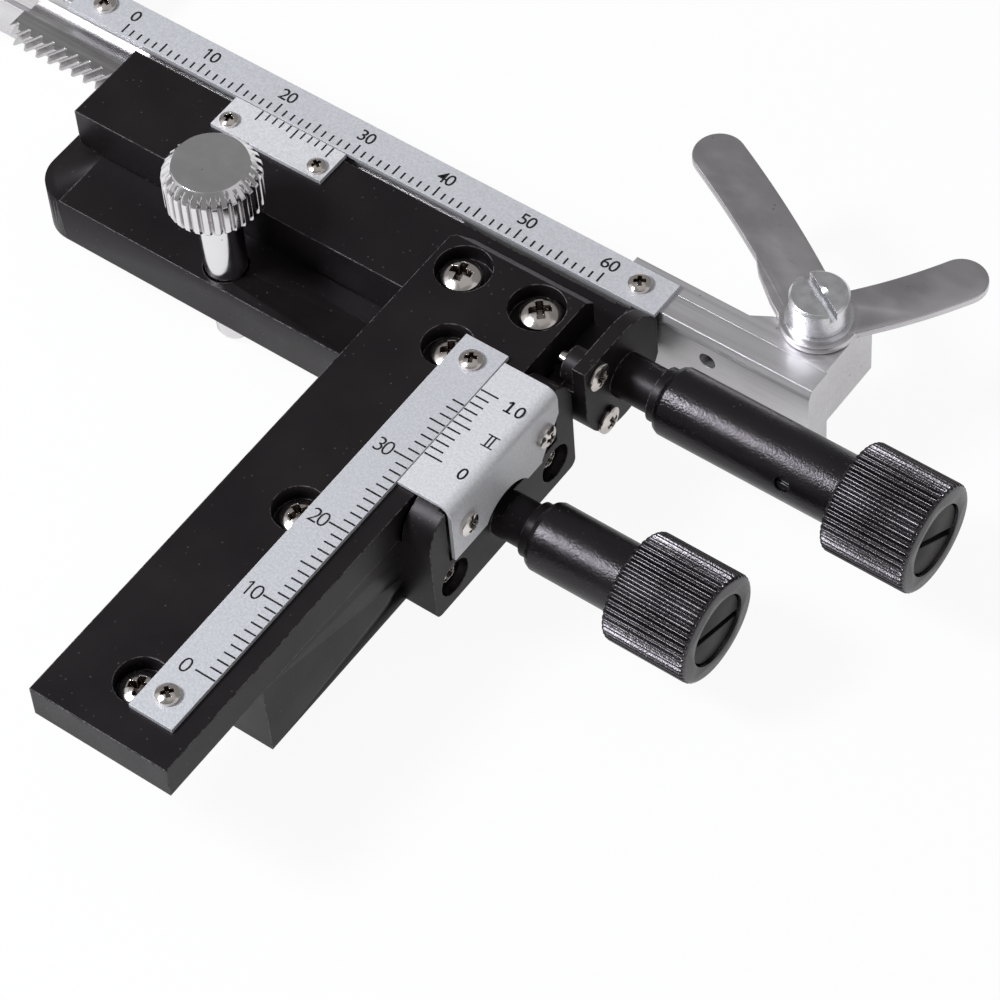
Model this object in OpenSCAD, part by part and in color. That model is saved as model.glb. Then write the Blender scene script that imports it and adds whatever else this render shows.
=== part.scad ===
// Attachable mechanical microscope stage.
// Origin: clamp screw axis on the underside of the base. +X along both knob
// shafts, +Y away from the user, +Z up. Millimetres.

/* [Base] */
// Thickness of the base plate
base_t = 5.9; // [5.2:0.1:6.4]
// Left end of the base plate, from the clamp screw
base_left = 23.5; // [20:0.5:28]
// Front edge of the base plate, from the clamp screw
base_front = 2.9; // [2.8:0.1:3.4]
// Back edge of the base plate, from the clamp screw
base_back = 12; // [10:0.5:12.5]
// Corner radius of the base plate
base_corner = 4; // [2:0.5:6]
// Length of the arm that carries the Y slide
arm_l = 42.7; // [38:0.1:46]
// Gap under the arm
arm_lift = 1.1; // [0.5:0.1:1.4]

/* [Y slide] */
// Left side of the Y plate, from the clamp screw
plate_x = 21.5; // [21.4:0.1:21.6]
// Width of the Y plate
plate_w = 16; // [15.8:0.2:18]
// Length of the Y plate
plate_l = 66; // [64:0.5:70]
// Thickness of the Y plate
plate_t = 4; // [3.4:0.2:5]
// Bevel along the far end of the Y plate
plate_bevel = 1.2; // [0.5:0.1:1.8]
// Width of the dovetail rail where it meets the plate
rail_w = 7; // [6.4:0.2:8]
// Height of the dovetail rail
rail_h = 2.6; // [2.2:0.1:2.8]
// Length of the dovetail rail
rail_l = 53.3; // [50:0.1:54]
// Thickness of the gib strip
gib_t = 1.2; // [0.8:0.1:1.6]
// Travel of the Y slide
y_travel = 31; // [20:1:32]

/* [X slide] */
// Depth of the X beam, front to back
beam_d = 9.9; // [9.7:0.1:10]
// Height of the X beam
beam_h = 4.9; // [4.8:0.1:5.2]
// Left end of the X beam, from the clamp screw
beam_left = 22.5; // [22:0.5:26]
// Thickness of the slide bar
bar_t = 3.2; // [2.8:0.1:4]
// Length of the slide bar
bar_l = 110.7; // [106:0.1:116]
// Gap under the slide bar
bar_lift = 0.5; // [0.3:0.1:1]
// Chamfer along the top front edge of the slide bar
bar_chamfer = 0.9; // [0.4:0.1:1.2]
// Travel of the X slide to the right
x_travel_right = 18; // [10:1:18]
// Travel of the X slide to the left
x_travel_left = 30; // [20:1:30]
// Length of the toothed rail
xrack_l = 55; // [54:0.5:56]

/* [Gearing] */
// Module of the Y rack and pinion
y_module = 0.5; // [0.45:0.01:0.5]
// Teeth on the Y pinion
y_teeth = 10; // [9:1:10]
// Starts on the X worm
x_starts = 6; // [5:1:7]
// Axial pitch of the X worm and its slanted rack
x_pitch = 1.6; // [1.4:0.1:1.8]
// Pitch radius of the X worm
x_worm_r = 1.5; // [1.45:0.01:1.55]
// Play at the gear teeth
backlash = 0.1; // [0.06:0.01:0.16]

/* [Knobs] */
// Diameter of both knobs
knob_d = 11.6; // [10.8:0.1:11.8]
// Length of both knobs
knob_l = 9.5; // [8.5:0.1:12]
// Flutes around each knob
knob_flutes = 48; // [36:2:60]
// Diameter of the bearing sleeves
sleeve_d = 7.3; // [6.8:0.1:8]
// Length of the Y sleeve
y_sleeve_l = 10.4; // [8:0.1:12]
// Length of the X sleeve
x_sleeve_l = 20.6; // [18:0.1:22]
// Diameter of the Y shaft
y_shaft_d = 3; // [2.6:0.1:3.2]
// Diameter of the X shaft along the beam
x_shaft_d = 2.1; // [1.8:0.1:2.1]

/* [Clamp screw] */
// Diameter of the clamp screw head
thumb_d = 10.1; // [9:0.1:10.2]
// Height of the clamp screw head
thumb_h = 5.5; // [4:0.1:7]
// Diameter of the clamp screw shank
thumb_shank_d = 4.5; // [4:0.1:4.7]
// Diameter of the threaded end
thumb_thread_d = 4; // [3:0.1:4]
// Reach of the clamp screw below the base
thumb_reach = 4.5; // [3:0.1:8]
// Clear shank between the base and the head
thumb_clear = 10; // [9:0.5:12]
// Flutes around the clamp screw head
thumb_flutes = 30; // [24:1:36]

/* [Clip] */
// Thickness of the clip spring sheet
clip_t = 0.9; // [0.6:0.1:1]
// Width of the curved arm
arm_w = 5.8; // [5:0.2:7]
// Length of the curved arm
clip_arm_l = 26; // [22:0.5:30]
// Width of the finger lever
lever_w = 5.3; // [4.5:0.1:6]
// Length of the finger lever from the pivot
lever_l = 17.8; // [14:0.2:20]
// Diameter of the pivot screw head
pivot_head_d = 6; // [5:0.1:6.4]
// Height of the pivot screw head
pivot_head_h = 3.2; // [2.8:0.1:4]
// Diameter of the pivot shoulder
pivot_d = 3; // [2.6:0.1:3.4]

/* [Scales] */
// Thickness of the rulers
ruler_t = 0.5; // [0.4:0.1:0.6]
// Width of the Y ruler
y_ruler_w = 5; // [4.6:0.1:5.2]
// Length of the Y ruler
y_ruler_l = 51.5; // [50:0.5:53]
// Width of the X ruler
x_ruler_w = 4.4; // [4:0.1:4.6]
// Length of the X ruler
x_ruler_l = 74.1; // [72:0.1:76]

/* [Fits] */
// Running clearance of shafts, on the radius
run = 0.05; // [0.03:0.01:0.08]
// Sliding clearance of the guides
slide_gap = 0.08; // [0.05:0.01:0.12]
// Gap between parts that pass each other
pass_gap = 0.2; // [0.15:0.05:0.3]

/* [Hidden] */
$fn = 64;
eps = 0.01;

paint = [0.13, 0.12, 0.12];
nickel = [0.78, 0.78, 0.8];
satin = [0.8, 0.81, 0.83];
brass = [0.8, 0.64, 0.33];

// ---- heights
plate_z = base_t + pass_gap + beam_h;          // underside of the Y plate
plate_top = plate_z + plate_t;
scale_top = plate_top + ruler_t;
arm_top = plate_z - pass_gap;
beam_z = plate_z - beam_h;

// ---- Y slide
slide_x = plate_x + plate_w / 2;               // centre line of the Y slide
plate_right = plate_x + plate_w;
beam_y = 4.3;                                  // front of the X beam
beam_back = beam_y + beam_d;
plate_far = 11.3;                              // far end of the Y plate
plate_near = plate_far - plate_l;
arm_right = plate_right - pass_gap;
arm_far = beam_y - 2.6;
arm_near = arm_far - arm_l;
rail_far = arm_far + 0.1;
rail_near = rail_far - rail_l;
rail_z = plate_z - rail_h;
flank = tan(30);                               // slope of the dovetail flanks
rail_screw_y = [for (i = [0:2]) rail_near + 3.2 + i * (rail_l - 6.5) / 2];
beam_screw_x = [slide_x - 4.4, slide_x + 4.4];
beam_screw_y = 7;

// ---- Y rack and pinion
y_pitch_r = y_module * y_teeth / 2;
y_axis_y = -9.1;
rack_pitch_z = rail_z - 0.4;
y_axis_z = rack_pitch_z - y_pitch_r;
rack_w = 4;
rack_root_z = rack_pitch_z + 1.25 * y_module;
pinion_w = 3.6;
y_shaft_r = y_shaft_d / 2;

// ---- Y bearing bracket
bracket_t = 3.9;
bracket_face = arm_right + bracket_t;
bracket_half = 11.35;
bracket_low = 0.9;
bracket_top = plate_top + 0.1;
ear_y = 8.15;
ear_z = y_axis_z - 1.2;
neck_r = 2.4;
collar_r = 2.9;
y_sleeve_x = bracket_face + 4.5;
y_knob_x = y_sleeve_x + y_sleeve_l + 0.3;
sleeve_r = sleeve_d / 2;
washer_t = 0.2;
disc_r = 3.75;

// ---- X beam, shaft and worm
x_axis_y = 9.15;
x_axis_z = beam_z + beam_h / 2 - 0.1;
beam_right = plate_right + 1.85;
lug_t = 1.5;
flange_r = 6.2;
flange_t = 3.05;
flange_face = beam_right + flange_t;
x_sleeve_x = flange_face + 5.4;
x_knob_x = x_sleeve_x + x_sleeve_l + 0.3;
worm_x = -15;
worm_w = 4.6;
worm_tip_r = x_worm_r + 0.35;
worm_root_r = x_worm_r - 0.42;
x_shaft_r = x_shaft_d / 2;
x_journal_r = 1.5;
lead = x_starts * x_pitch;
slant = atan(x_pitch * x_starts / (2 * PI * x_worm_r));

// ---- slide bar
bar_y = x_axis_y + 6.05;                       // front face, clears the knob
bar_back = bar_y + bar_t;
bar_top = plate_z;
bar_right = 59.8;
bar_left = bar_right - bar_l;
tongue_z = beam_z + 0.05;
tongue_h = 0.9;
tongue_reach = 0.8;
tongue_right = 11.5;
groove_right = tongue_right + x_travel_left + 0.3;
t_head_h = 3;
t_neck_h = 1.8;
t_head_d = 2.6;
xrack_y = x_axis_y + x_worm_r - 0.3;           // tips of the slanted teeth
xrack_root_y = x_axis_y + x_worm_r + 0.45;
xrack_right = worm_x + worm_w / 2 + x_travel_left + 1.2;
xrack_left = xrack_right - xrack_l;
scale_zero_x = -25;
x_ruler_right = 42.1;
x_ruler_y = bar_y - 0.4;
x_ruler_screw_x = [x_ruler_right - 3.3, x_ruler_right - x_ruler_l + 3.2];

// ---- end block, pivot and clip
block_right = bar_right - 0.2;
block_w = 10;
block_d = 8.2;
block_low = bar_top - 7.9;
strip_t = 1.8;
strip_left = 36.3;
pivot_x = 55.8;
pivot_y = bar_back + 4.65;
pivot_r = pivot_d / 2;
spring_pocket_r = 2.9;
spring_pocket_h = 4;
clip_z = bar_top + 0.05;
clip_hub_r = 3.9;
clip_washer_t = 0.5;
arm_heading = 143;                             // direction in which the arm leaves the pivot
arm_bend_r = 150;                              // centre line radius of the arm
lever_heading = 43;                            // direction in which the lever leaves the pivot
lever_bend_r = 60;                             // centre line radius of the lever
toe_z = 0.6;
toe_w = 2.6;
clip_washer_r = 3.4;
block_screw_at = [[48, bar_top - 3], [54, bar_top - 7]];

// ---- fixed finger
glass_t = 1.1;
finger_face = -35.3;                           // stop for the end of the glass slide
finger_t = 1.2;
finger_l = 22;
finger_w = 6;
finger_screw_x = [finger_face - 9.5, finger_face - 3];

// ---- X vernier
x_vernier_x = [-9.5, 4.5];

// ---- clamp screw
thumb_r = thumb_d / 2;
ring_r = 3.2;
ring_t = 0.7;
ring_z = 0.3;
ring_room_r = 3.6;
ring_room_h = 4;

// ===================================================== shared shapes
module along_x(x0, x1, y, z, r) {
    translate([x0, y, z]) rotate([0, 90, 0]) cylinder(h = x1 - x0, r = r);
}

module along_y(y0, y1, x, z, r) {
    translate([x, y0, z]) rotate([-90, 0, 0]) cylinder(h = y1 - y0, r = r);
}

module along_z(z0, z1, x, y, r) {
    translate([x, y, z0]) cylinder(h = z1 - z0, r = r);
}

module box(a, b) {
    translate(a) cube(b - a);
}

// Profile drawn as [y, z], pulled along X
module profile_x(x0, x1) {
    translate([x0, 0, 0]) rotate([90, 0, 90]) linear_extrude(x1 - x0) children();
}

// Profile drawn as [x, z], pulled along Y
module profile_y(y0, y1) {
    translate([0, y1, 0]) rotate([90, 0, 0]) linear_extrude(y1 - y0) children();
}

module rounded_rect(a, b, r) {
    translate(a + [r, 0]) square([b[0] - a[0] - 2 * r, b[1] - a[1]]);
    translate(a + [0, r]) square([b[0] - a[0], b[1] - a[1] - 2 * r]);
    for (x = [a[0] + r, b[0] - r], y = [a[1] + r, b[1] - r]) translate([x, y]) circle(r);
}

// Pan head screw standing on z = 0, its shank below
module pan_screw(head_d, head_h, shank_d, shank_l) {
    rotate_extrude() polygon([
        [0, -shank_l], [shank_d / 2, -shank_l], [shank_d / 2, 0], [head_d / 2, 0],
        [head_d / 2, head_h * 0.45], [head_d * 0.36, head_h * 0.86], [head_d * 0.16, head_h],
        [0, head_h]]);
}

module cross_recess(d, depth, top) {
    for (a = [0, 90]) rotate(a)
        translate([-d / 2, -d * 0.12, top - depth]) cube([d, d * 0.24, depth + 1]);
}

module cross_screw(head_d, head_h, shank_d, shank_l) {
    difference() {
        pan_screw(head_d, head_h, shank_d, shank_l);
        cross_recess(head_d * 0.5, head_h * 0.6, head_h);
    }
}

// Outline with V flutes around it
module fluted(r, count, depth) {
    polygon([for (i = [0:count * 2 - 1]) let (q = i % 2 == 0 ? r : r - depth)
        [q * cos(i * 180 / count), q * sin(i * 180 / count)]]);
}

// Gear outline with involute flanks, thinned by the play
function roll(t) = tan(t) * 180 / PI - t;
function pressure_at(r, base_r) = acos(min(1, base_r / r));
function half_tooth(r, n, pitch_r, press, play) =
    let (base_r = pitch_r * cos(press))
    (90 / n - play / pitch_r * 90 / PI)
        + roll(press) - roll(pressure_at(max(r, base_r), base_r));
module gear_outline(n, pitch_r, tip_r, root_r, press, play) {
    base_r = pitch_r * cos(press);
    low_r = max(base_r, root_r + eps);
    rs = [for (k = [0:4]) low_r + (tip_r - low_r) * k / 4];
    polygon([for (i = [0:n - 1])
        let (left = [for (r = rs) let (a = i * 360 / n - half_tooth(r, n, pitch_r, press, play))
                [r * cos(a), r * sin(a)]],
             right = [for (k = [4:-1:0]) let (a = i * 360 / n
                    + half_tooth(rs[k], n, pitch_r, press, play))
                [rs[k] * cos(a), rs[k] * sin(a)]],
             foot = half_tooth(low_r, n, pitch_r, press, play),
             a0 = i * 360 / n - foot, a1 = i * 360 / n + foot)
        each concat([[root_r * cos(a0), root_r * sin(a0)]], left, right,
            [[root_r * cos(a1), root_r * sin(a1)]])]);
}

// ===================================================== base
module dovetail(grow_left, grow_right, top, low) {
    polygon([
        [slide_x - rail_w / 2 - (plate_z - top) * flank - grow_left, top],
        [slide_x - rail_w / 2 - (plate_z - low) * flank - grow_left, low],
        [slide_x + rail_w / 2 + (plate_z - low) * flank + grow_right, low],
        [slide_x + rail_w / 2 + (plate_z - top) * flank + grow_right, top]]);
}

module base_frame() {
    color(paint) difference() {
        union() {
            linear_extrude(base_t) {
                rounded_rect([-base_left, -base_front], [0, base_back], base_corner);
                translate([-base_corner, -base_front])
                    square([arm_right + base_corner, base_front + base_back]);
            }
            box([plate_x, arm_near, arm_lift], [arm_right, arm_far, arm_top]);
        }
        profile_y(arm_near - 1, base_back + 1)
            dovetail(gib_t + 2 * slide_gap, slide_gap, arm_top + eps, rail_z - pass_gap);
        box([slide_x - rack_w / 2 - 0.5, arm_near - 1, rack_pitch_z - y_module - 0.3],
            [slide_x + rack_w / 2 + 0.5, base_back + 1, rail_z]);
        along_x(slide_x - pinion_w / 2 - 0.4, slide_x + pinion_w / 2 + 0.4, y_axis_y, y_axis_z,
            y_pitch_r + y_module + 0.3);
        along_x(plate_x + 2.1, arm_right + 1, y_axis_y, y_axis_z, y_shaft_r + run);
        for (s = [-1, 1])
            along_x(arm_right - 4.2, arm_right + 1, y_axis_y + s * ear_y, ear_z, 1 + run);
        for (y = gib_screw_y) along_x(plate_x - 1, slide_x - 4, y, gib_screw_z, 1 + run);
        along_z(-1, base_t + 1, 0, 0, thumb_shank_d / 2 + 0.15);
        along_z(-1, ring_room_h, 0, 0, ring_room_r);
    }
}

gib_screw_y = [arm_near + 7, (arm_near + arm_far) / 2, arm_far - 7];
gib_screw_z = (plate_z + rail_z) / 2 - 0.1;
gib_low = rail_z - pass_gap;
gib_outer = slide_x - rail_w / 2 - slide_gap - gib_t;

module y_gib() {
    color(brass) profile_y(arm_near + 0.4, arm_far - 0.4) polygon([
        for (s = [[gib_low, 0], [gib_low, 1], [arm_top - 0.1, 1], [arm_top - 0.1, 0]])
            [gib_outer + s[1] * gib_t - slide_gap * (1 - s[1]) - (plate_z - s[0]) * flank, s[0]]]);
}

module y_gib_screws() {
    tip = gib_outer - slide_gap - (plate_z - gib_screw_z + 1) * flank - 0.05;
    color(nickel) for (y = gib_screw_y) difference() {
        along_x(plate_x + 0.2, tip, y, gib_screw_z, 1);
        box([plate_x, y - 2, gib_screw_z - 0.2], [plate_x + 0.8, y + 2, gib_screw_z + 0.2]);
    }
}

module bracket_outline() {
    y0 = y_axis_y - bracket_half;
    y1 = y_axis_y + bracket_half;
    rounded_rect([y0, bracket_low], [y1, bracket_top - 5], 0.9);
    translate([y0, bracket_low + 3]) square([y1 - y0, bracket_top - bracket_low - 7]);
    translate([y0 + 4, bracket_low + 3]) square([y1 - y0 - 8, bracket_top - bracket_low - 3]);
    for (y = [y0 + 4, y1 - 4]) translate([y, bracket_top - 4]) circle(4);
}

module y_bearing_bracket() {
    color(paint) difference() {
        union() {
            profile_x(arm_right, bracket_face) bracket_outline();
            along_x(bracket_face - 1, y_sleeve_x - 0.8, y_axis_y, y_axis_z, neck_r);
            along_x(y_sleeve_x - 0.9, y_sleeve_x, y_axis_y, y_axis_z, collar_r);
            along_x(y_sleeve_x - 0.1, y_sleeve_x + 4.4, y_axis_y, y_axis_z, 2.2);
        }
        box([arm_right - 1, y_axis_y - 20, arm_top + 0.1],
            [plate_right + 0.4, y_axis_y + 20, bracket_top + 1]);
        box([bracket_face - 0.5, y_axis_y - 8.7, bracket_top - 7.8],
            [bracket_face + 1, y_axis_y + 8.7, bracket_top + 1]);
        box([bracket_face - 0.82, y_axis_y - 8.7, bracket_top - 0.4],
            [bracket_face + 1, y_axis_y + 8.7, bracket_top + 1]);
        along_x(arm_right - 1, y_sleeve_x + 6, y_axis_y, y_axis_z, y_shaft_r + run);
        for (s = [-1, 1]) {
            along_x(arm_right - 1, bracket_face + 1, y_axis_y + s * ear_y, ear_z, 1 + run);
            along_x(bracket_face - 1.9, bracket_face + 1, y_axis_y + s * ear_y, ear_z, 2.1);
        }
        for (s = [-1, 1])
            along_x(bracket_face - 3, bracket_face + 1, y_axis_y + s * 6.25, vernier_screw_z,
                0.6 + run);
    }
}

vernier_screw_z = scale_top - 4.3;

module y_bracket_screws() {
    color(nickel) for (s = [-1, 1])
        translate([bracket_face - 1.9, y_axis_y + s * ear_y, ear_z]) rotate([0, 90, 0])
            cross_screw(3.6, 1.3, 2, 6);
}

vernier_z = scale_top - 0.4;
vernier_near = -17.5;
vernier_far = -0.5;
vernier_left = plate_right - 1.95;

// Bent plate: top leaf, rounded bend and a scalloped front leaf
module y_vernier_plate() {
    out = bracket_face;
    drop = 7.9;
    color(satin) difference() {
        union() {
            box([vernier_left, vernier_near, vernier_z], [out - 0.8, vernier_far, scale_top]);
            profile_y(vernier_near, vernier_far) difference() {
                translate([out - 0.8, scale_top - 1.3]) circle(1.3);
                translate([out - 0.8, scale_top - 1.3]) circle(0.9);
                translate([out - 4, scale_top - 4]) square([3.2, 6]);
                translate([out - 4, scale_top - 4]) square([6, 2.7]);
            }
            profile_x(out + 0.1, out + 0.5) difference() {
                translate([vernier_near, scale_top - drop])
                    square([vernier_far - vernier_near, drop - 1.3]);
                translate([y_axis_y, y_axis_z]) circle(3.9);
                polygon([[vernier_far - 3, scale_top - drop - 1], [vernier_far - 3, scale_top - drop + 0.3],
                    [vernier_far + 0.1, scale_top - 3.2], [vernier_far + 0.1, scale_top - drop - 1]]);
                translate([vernier_near - 0.5, scale_top - drop - 0.5]) rotate(45)
                    square([1.6, 1.6], center = true);
            }
        }
        for (s = [-1, 1])
            along_x(out - 1, out + 2, y_axis_y + s * 6.25, vernier_screw_z, 0.65 + run);
    }
}

module y_vernier_screws() {
    color(nickel) for (s = [-1, 1])
        translate([bracket_face + 0.5, y_axis_y + s * 6.25, vernier_screw_z]) rotate([0, 90, 0])
            cross_screw(2.5, 0.9, 1.2, 3);
}

module y_sleeve() {
    color(paint) difference() {
        round_sleeve(y_sleeve_x, y_sleeve_l, y_axis_y, y_axis_z);
        along_x(y_sleeve_x - 1, y_sleeve_x + 4.5, y_axis_y, y_axis_z, 2.2 + run);
        along_x(y_sleeve_x, y_sleeve_x + y_sleeve_l + 1, y_axis_y, y_axis_z, y_shaft_r + run);
    }
}

module round_sleeve(x, l, y, z) {
    translate([x, y, z]) rotate([0, 90, 0]) rotate_extrude() polygon([
        [0, 0], [sleeve_r - 0.7, 0], [sleeve_r - 0.2, 0.25], [sleeve_r, 0.7],
        [sleeve_r, l], [0, l]]);
}

// ===================================================== Y stage
module y_plate() {
    b = plate_bevel;
    color(paint) difference() {
        profile_x(plate_x, plate_right) polygon([
            [plate_near, plate_z], [plate_near, plate_top], [plate_far - b, plate_top],
            [plate_far, plate_top - b], [plate_far, plate_z]]);
        translate([plate_x, plate_far, plate_top]) rotate([0, 0, 45])
            cube([2.4, 2.4, 20], center = true);
        for (y = rail_screw_y) {
            along_z(plate_z - 1, plate_top + 1, slide_x, y, 1.1 + run);
            along_z(plate_top - 2, plate_top + 1, slide_x, y, 2.65);
        }
        for (x = beam_screw_x) {
            along_z(plate_z - 1, plate_top + 1, x, beam_screw_y, 1.3 + run);
            along_z(plate_top - 2, plate_top + 1, x, beam_screw_y, 2.9);
        }
        for (y = y_ruler_screw_y) along_z(plate_top - 2.1, plate_top + 1, y_ruler_screw_x, y, 0.6 + run);
    }
}

module y_rail() {
    color(paint) difference() {
        profile_y(rail_near, rail_far) dovetail(0, 0, plate_z, rail_z);
        box([slide_x - rack_w / 2 - eps, rail_near - 1, rail_z - 1],
            [slide_x + rack_w / 2 + eps, rail_far + 1, rail_z + 0.6]);
        for (y = rail_screw_y) along_z(rail_z, plate_z + 1, slide_x, y, 1.1 + run);
    }
}

// Straight rack under the rail, teeth down
module y_rack() {
    p = PI * y_module;
    near = rail_near + 0.6;
    far = rail_far - 0.6;
    count = floor((far - near) / p) - 1;
    phase = y_axis_y - near - floor((y_axis_y - near) / p) * p - p / 2;
    start = near + phase + (phase < 0.4 ? p : 0);
    half = p / 4 - backlash / 4;
    lean = y_module * tan(20);
    color(nickel) profile_x(slide_x - rack_w / 2, slide_x + rack_w / 2) polygon(concat(
        [[near, rail_z + 0.6], [near, rack_root_z]],
        [for (i = [0:count - 1]) let (c = start + i * p)
            each [[c - half - lean * 1.25, rack_root_z], [c - half + lean, rack_pitch_z - y_module],
                [c + half - lean, rack_pitch_z - y_module], [c + half + lean * 1.25, rack_root_z]]],
        [[far, rack_root_z], [far, rail_z + 0.6]]));
}

module rail_screws() {
    color(nickel) for (y = rail_screw_y)
        translate([slide_x, y, plate_top - 2]) cross_screw(4.5, 1.5, 2.2, plate_t + rail_h - 2.8);
}

module beam_screws() {
    color(nickel) for (x = beam_screw_x)
        translate([x, beam_screw_y, plate_top - 2]) cross_screw(4.7, 1.9, 2.6, plate_t - 0.45);
}

y_ruler_x = plate_right - 7.1;
y_ruler_near = -51.15;
y_ruler_screw_x = y_ruler_x + 2.4;
y_ruler_screw_y = [y_ruler_near + 2.7, y_ruler_near + y_ruler_l - 2.5];

module y_ruler() {
    color(satin) difference() {
        box([y_ruler_x, y_ruler_near, plate_top],
            [vernier_left - 0.15, y_ruler_near + y_ruler_l, scale_top]);
        for (y = y_ruler_screw_y) along_z(plate_top - 1, scale_top + 1, y_ruler_screw_x, y, 0.6 + run);
    }
}

module y_ruler_screws() {
    color(nickel) for (y = y_ruler_screw_y)
        translate([y_ruler_screw_x, y, scale_top]) cross_screw(2.4, 0.8, 1.2, 2.4);
}

// ===================================================== X beam and its drive bearings
module flange_outline() {
    difference() {
        union() {
            translate([x_axis_y, x_axis_z]) circle(flange_r);
            translate([x_axis_y - flange_r, x_axis_z]) square([flange_r, flange_r]);
        }
        translate([bar_y - 0.4, -5]) square([10, 30]);
    }
}

flange_screw_at = [[x_axis_y - 4.3, x_axis_z + 4.2], [x_axis_y - 3.1, x_axis_z - 3.8]];

module t_slot(grow, y0) {
    zc = x_axis_z;
    translate([y0, zc - t_head_h / 2 - grow]) square([t_head_d + xrack_y - y0 + grow, t_head_h + 2 * grow]);
    translate([y0, zc - t_neck_h / 2 - grow]) square([bar_y - y0 + 1, t_neck_h + 2 * grow]);
}

module x_beam() {
    slot_right = beam_right - lug_t;
    color(paint) difference() {
        union() {
            box([-beam_left, beam_y, beam_z], [beam_right, beam_back, plate_z]);
            box([-beam_left, beam_back - 1, tongue_z],
                [tongue_right, bar_y + tongue_reach, tongue_z + tongue_h]);
            intersection() {
                profile_x(slot_right, beam_right) flange_outline();
                box([slot_right, -5, 0], [beam_right, beam_back + 0.2, plate_z]);
            }
        }
        profile_x(-beam_left - 1, slot_right) t_slot(slide_gap, xrack_y - 0.15);
        along_x(worm_x - worm_w / 2 - 0.3, worm_x + worm_w / 2 + 0.3, x_axis_y, x_axis_z,
            worm_tip_r + 0.15);
        along_x(worm_x, slot_right - 1, x_axis_y, x_axis_z, x_shaft_r + 0.15);
        along_x(-beam_left - 1, worm_x, x_axis_y, x_axis_z, x_shaft_r + run);
        along_x(slot_right - 1.2, beam_right + 1, x_axis_y, x_axis_z, x_journal_r + run);
        for (x = beam_screw_x) along_z(plate_z - 1.6, plate_z + 1, x, beam_screw_y, 1.3 + run);
        along_x(beam_right - 1.3, beam_right + 1, flange_screw_at[1][0], flange_screw_at[1][1],
            0.8 + run);
        for (x = x_vernier_screw_x)
            along_z(plate_z - 1, plate_z + 1, x, x_vernier_screw_y, 0.6 + run);
    }
}

module x_bearing_flange() {
    color(paint) difference() {
        union() {
            profile_x(flange_face - 1.5, flange_face) flange_outline();
            intersection() {
                profile_x(beam_right, flange_face - 1) flange_outline();
                box([beam_right, -5, 0], [flange_face, 30, plate_z]);
            }
            along_x(beam_right, flange_face - 1, flange_screw_at[0][0], flange_screw_at[0][1], 1.8);
            along_x(flange_face - 1, x_sleeve_x - 0.8, x_axis_y, x_axis_z, neck_r);
            along_x(x_sleeve_x - 0.9, x_sleeve_x, x_axis_y, x_axis_z, collar_r);
            along_x(x_sleeve_x - 0.1, x_sleeve_x + 4.4, x_axis_y, x_axis_z, 2.2);
        }
        along_x(beam_right - 1, x_sleeve_x + 6, x_axis_y, x_axis_z, x_journal_r + run);
        for (p = flange_screw_at) along_x(beam_right - 1, flange_face + 1, p[0], p[1], 0.8 + run);
    }
}

module x_flange_screws() {
    color(nickel) for (p = flange_screw_at)
        translate([flange_face, p[0], p[1]]) rotate([0, 90, 0])
            cross_screw(3, 0.8, 1.6, flange_t + (p[1] < plate_z ? 1.1 : -0.2));
}

bush_l = 8;
module x_sleeve() {
    end = x_sleeve_x + x_sleeve_l;
    color(paint) difference() {
        round_sleeve(x_sleeve_x, x_sleeve_l, x_axis_y, x_axis_z);
        along_x(x_sleeve_x - 1, x_sleeve_x + 4.5, x_axis_y, x_axis_z, 2.2 + run);
        along_x(x_sleeve_x, end, x_axis_y, x_axis_z, x_journal_r + 0.2);
        along_x(end - bush_l, end + 1, x_axis_y, x_axis_z, 2.3);
        set_screw_place() cylinder(h = 4, r = 0.8 + run);
    }
}

module set_screw_place() {
    translate([x_sleeve_x + x_sleeve_l - 5.4, x_axis_y, x_axis_z]) rotate([70, 0, 0])
        translate([0, 0, 2.3]) children();
}

module x_end_bush() {
    end = x_sleeve_x + x_sleeve_l;
    color(brass) difference() {
        along_x(end - bush_l, end, x_axis_y, x_axis_z, 2.3);
        along_x(end - bush_l - 1, end + 1, x_axis_y, x_axis_z, x_journal_r + run);
    }
}

module x_set_screw() {
    color(nickel) set_screw_place() difference() {
        translate([0, 0, 0.05]) cylinder(h = 0.9, r = 0.8);
        translate([-2, -0.15, 0.6]) cube([4, 0.3, 1]);
    }
}

x_vernier_back = x_ruler_y - 0.15;
x_vernier_front = x_vernier_back - 4.3;
x_vernier_screw_x = [x_vernier_x[0] + 1.4, x_vernier_x[1] - 1.4];
x_vernier_screw_y = x_vernier_front + 1.3;

module x_vernier_plate() {
    color(satin) difference() {
        box([x_vernier_x[0], x_vernier_front, plate_z], [x_vernier_x[1], x_vernier_back, plate_z + ruler_t]);
        for (x = x_vernier_screw_x)
            along_z(plate_z - 1, plate_z + 2, x, x_vernier_screw_y, 0.6 + run);
    }
}

module x_vernier_screws() {
    color(nickel) for (x = x_vernier_screw_x)
        translate([x, x_vernier_screw_y, plate_z + ruler_t]) cross_screw(2, 0.7, 1.2, 1.3);
}

// ===================================================== drives
module y_pinion_shaft() {
    color(nickel) difference() {
        union() {
            translate([slide_x - pinion_w / 2, y_axis_y, y_axis_z]) rotate([90, 0, 90])
                linear_extrude(pinion_w) rotate(90) gear_outline(y_teeth, y_pitch_r,
                    y_pitch_r + 0.8 * y_module, y_pitch_r - 1.2 * y_module, 20, backlash);
            along_x(plate_x + 2.4, y_knob_x + 7, y_axis_y, y_axis_z, y_shaft_r);
        }
        along_x(y_knob_x + 2, y_knob_x + 8, y_axis_y, y_axis_z, 0.8 + run);
    }
}

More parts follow.
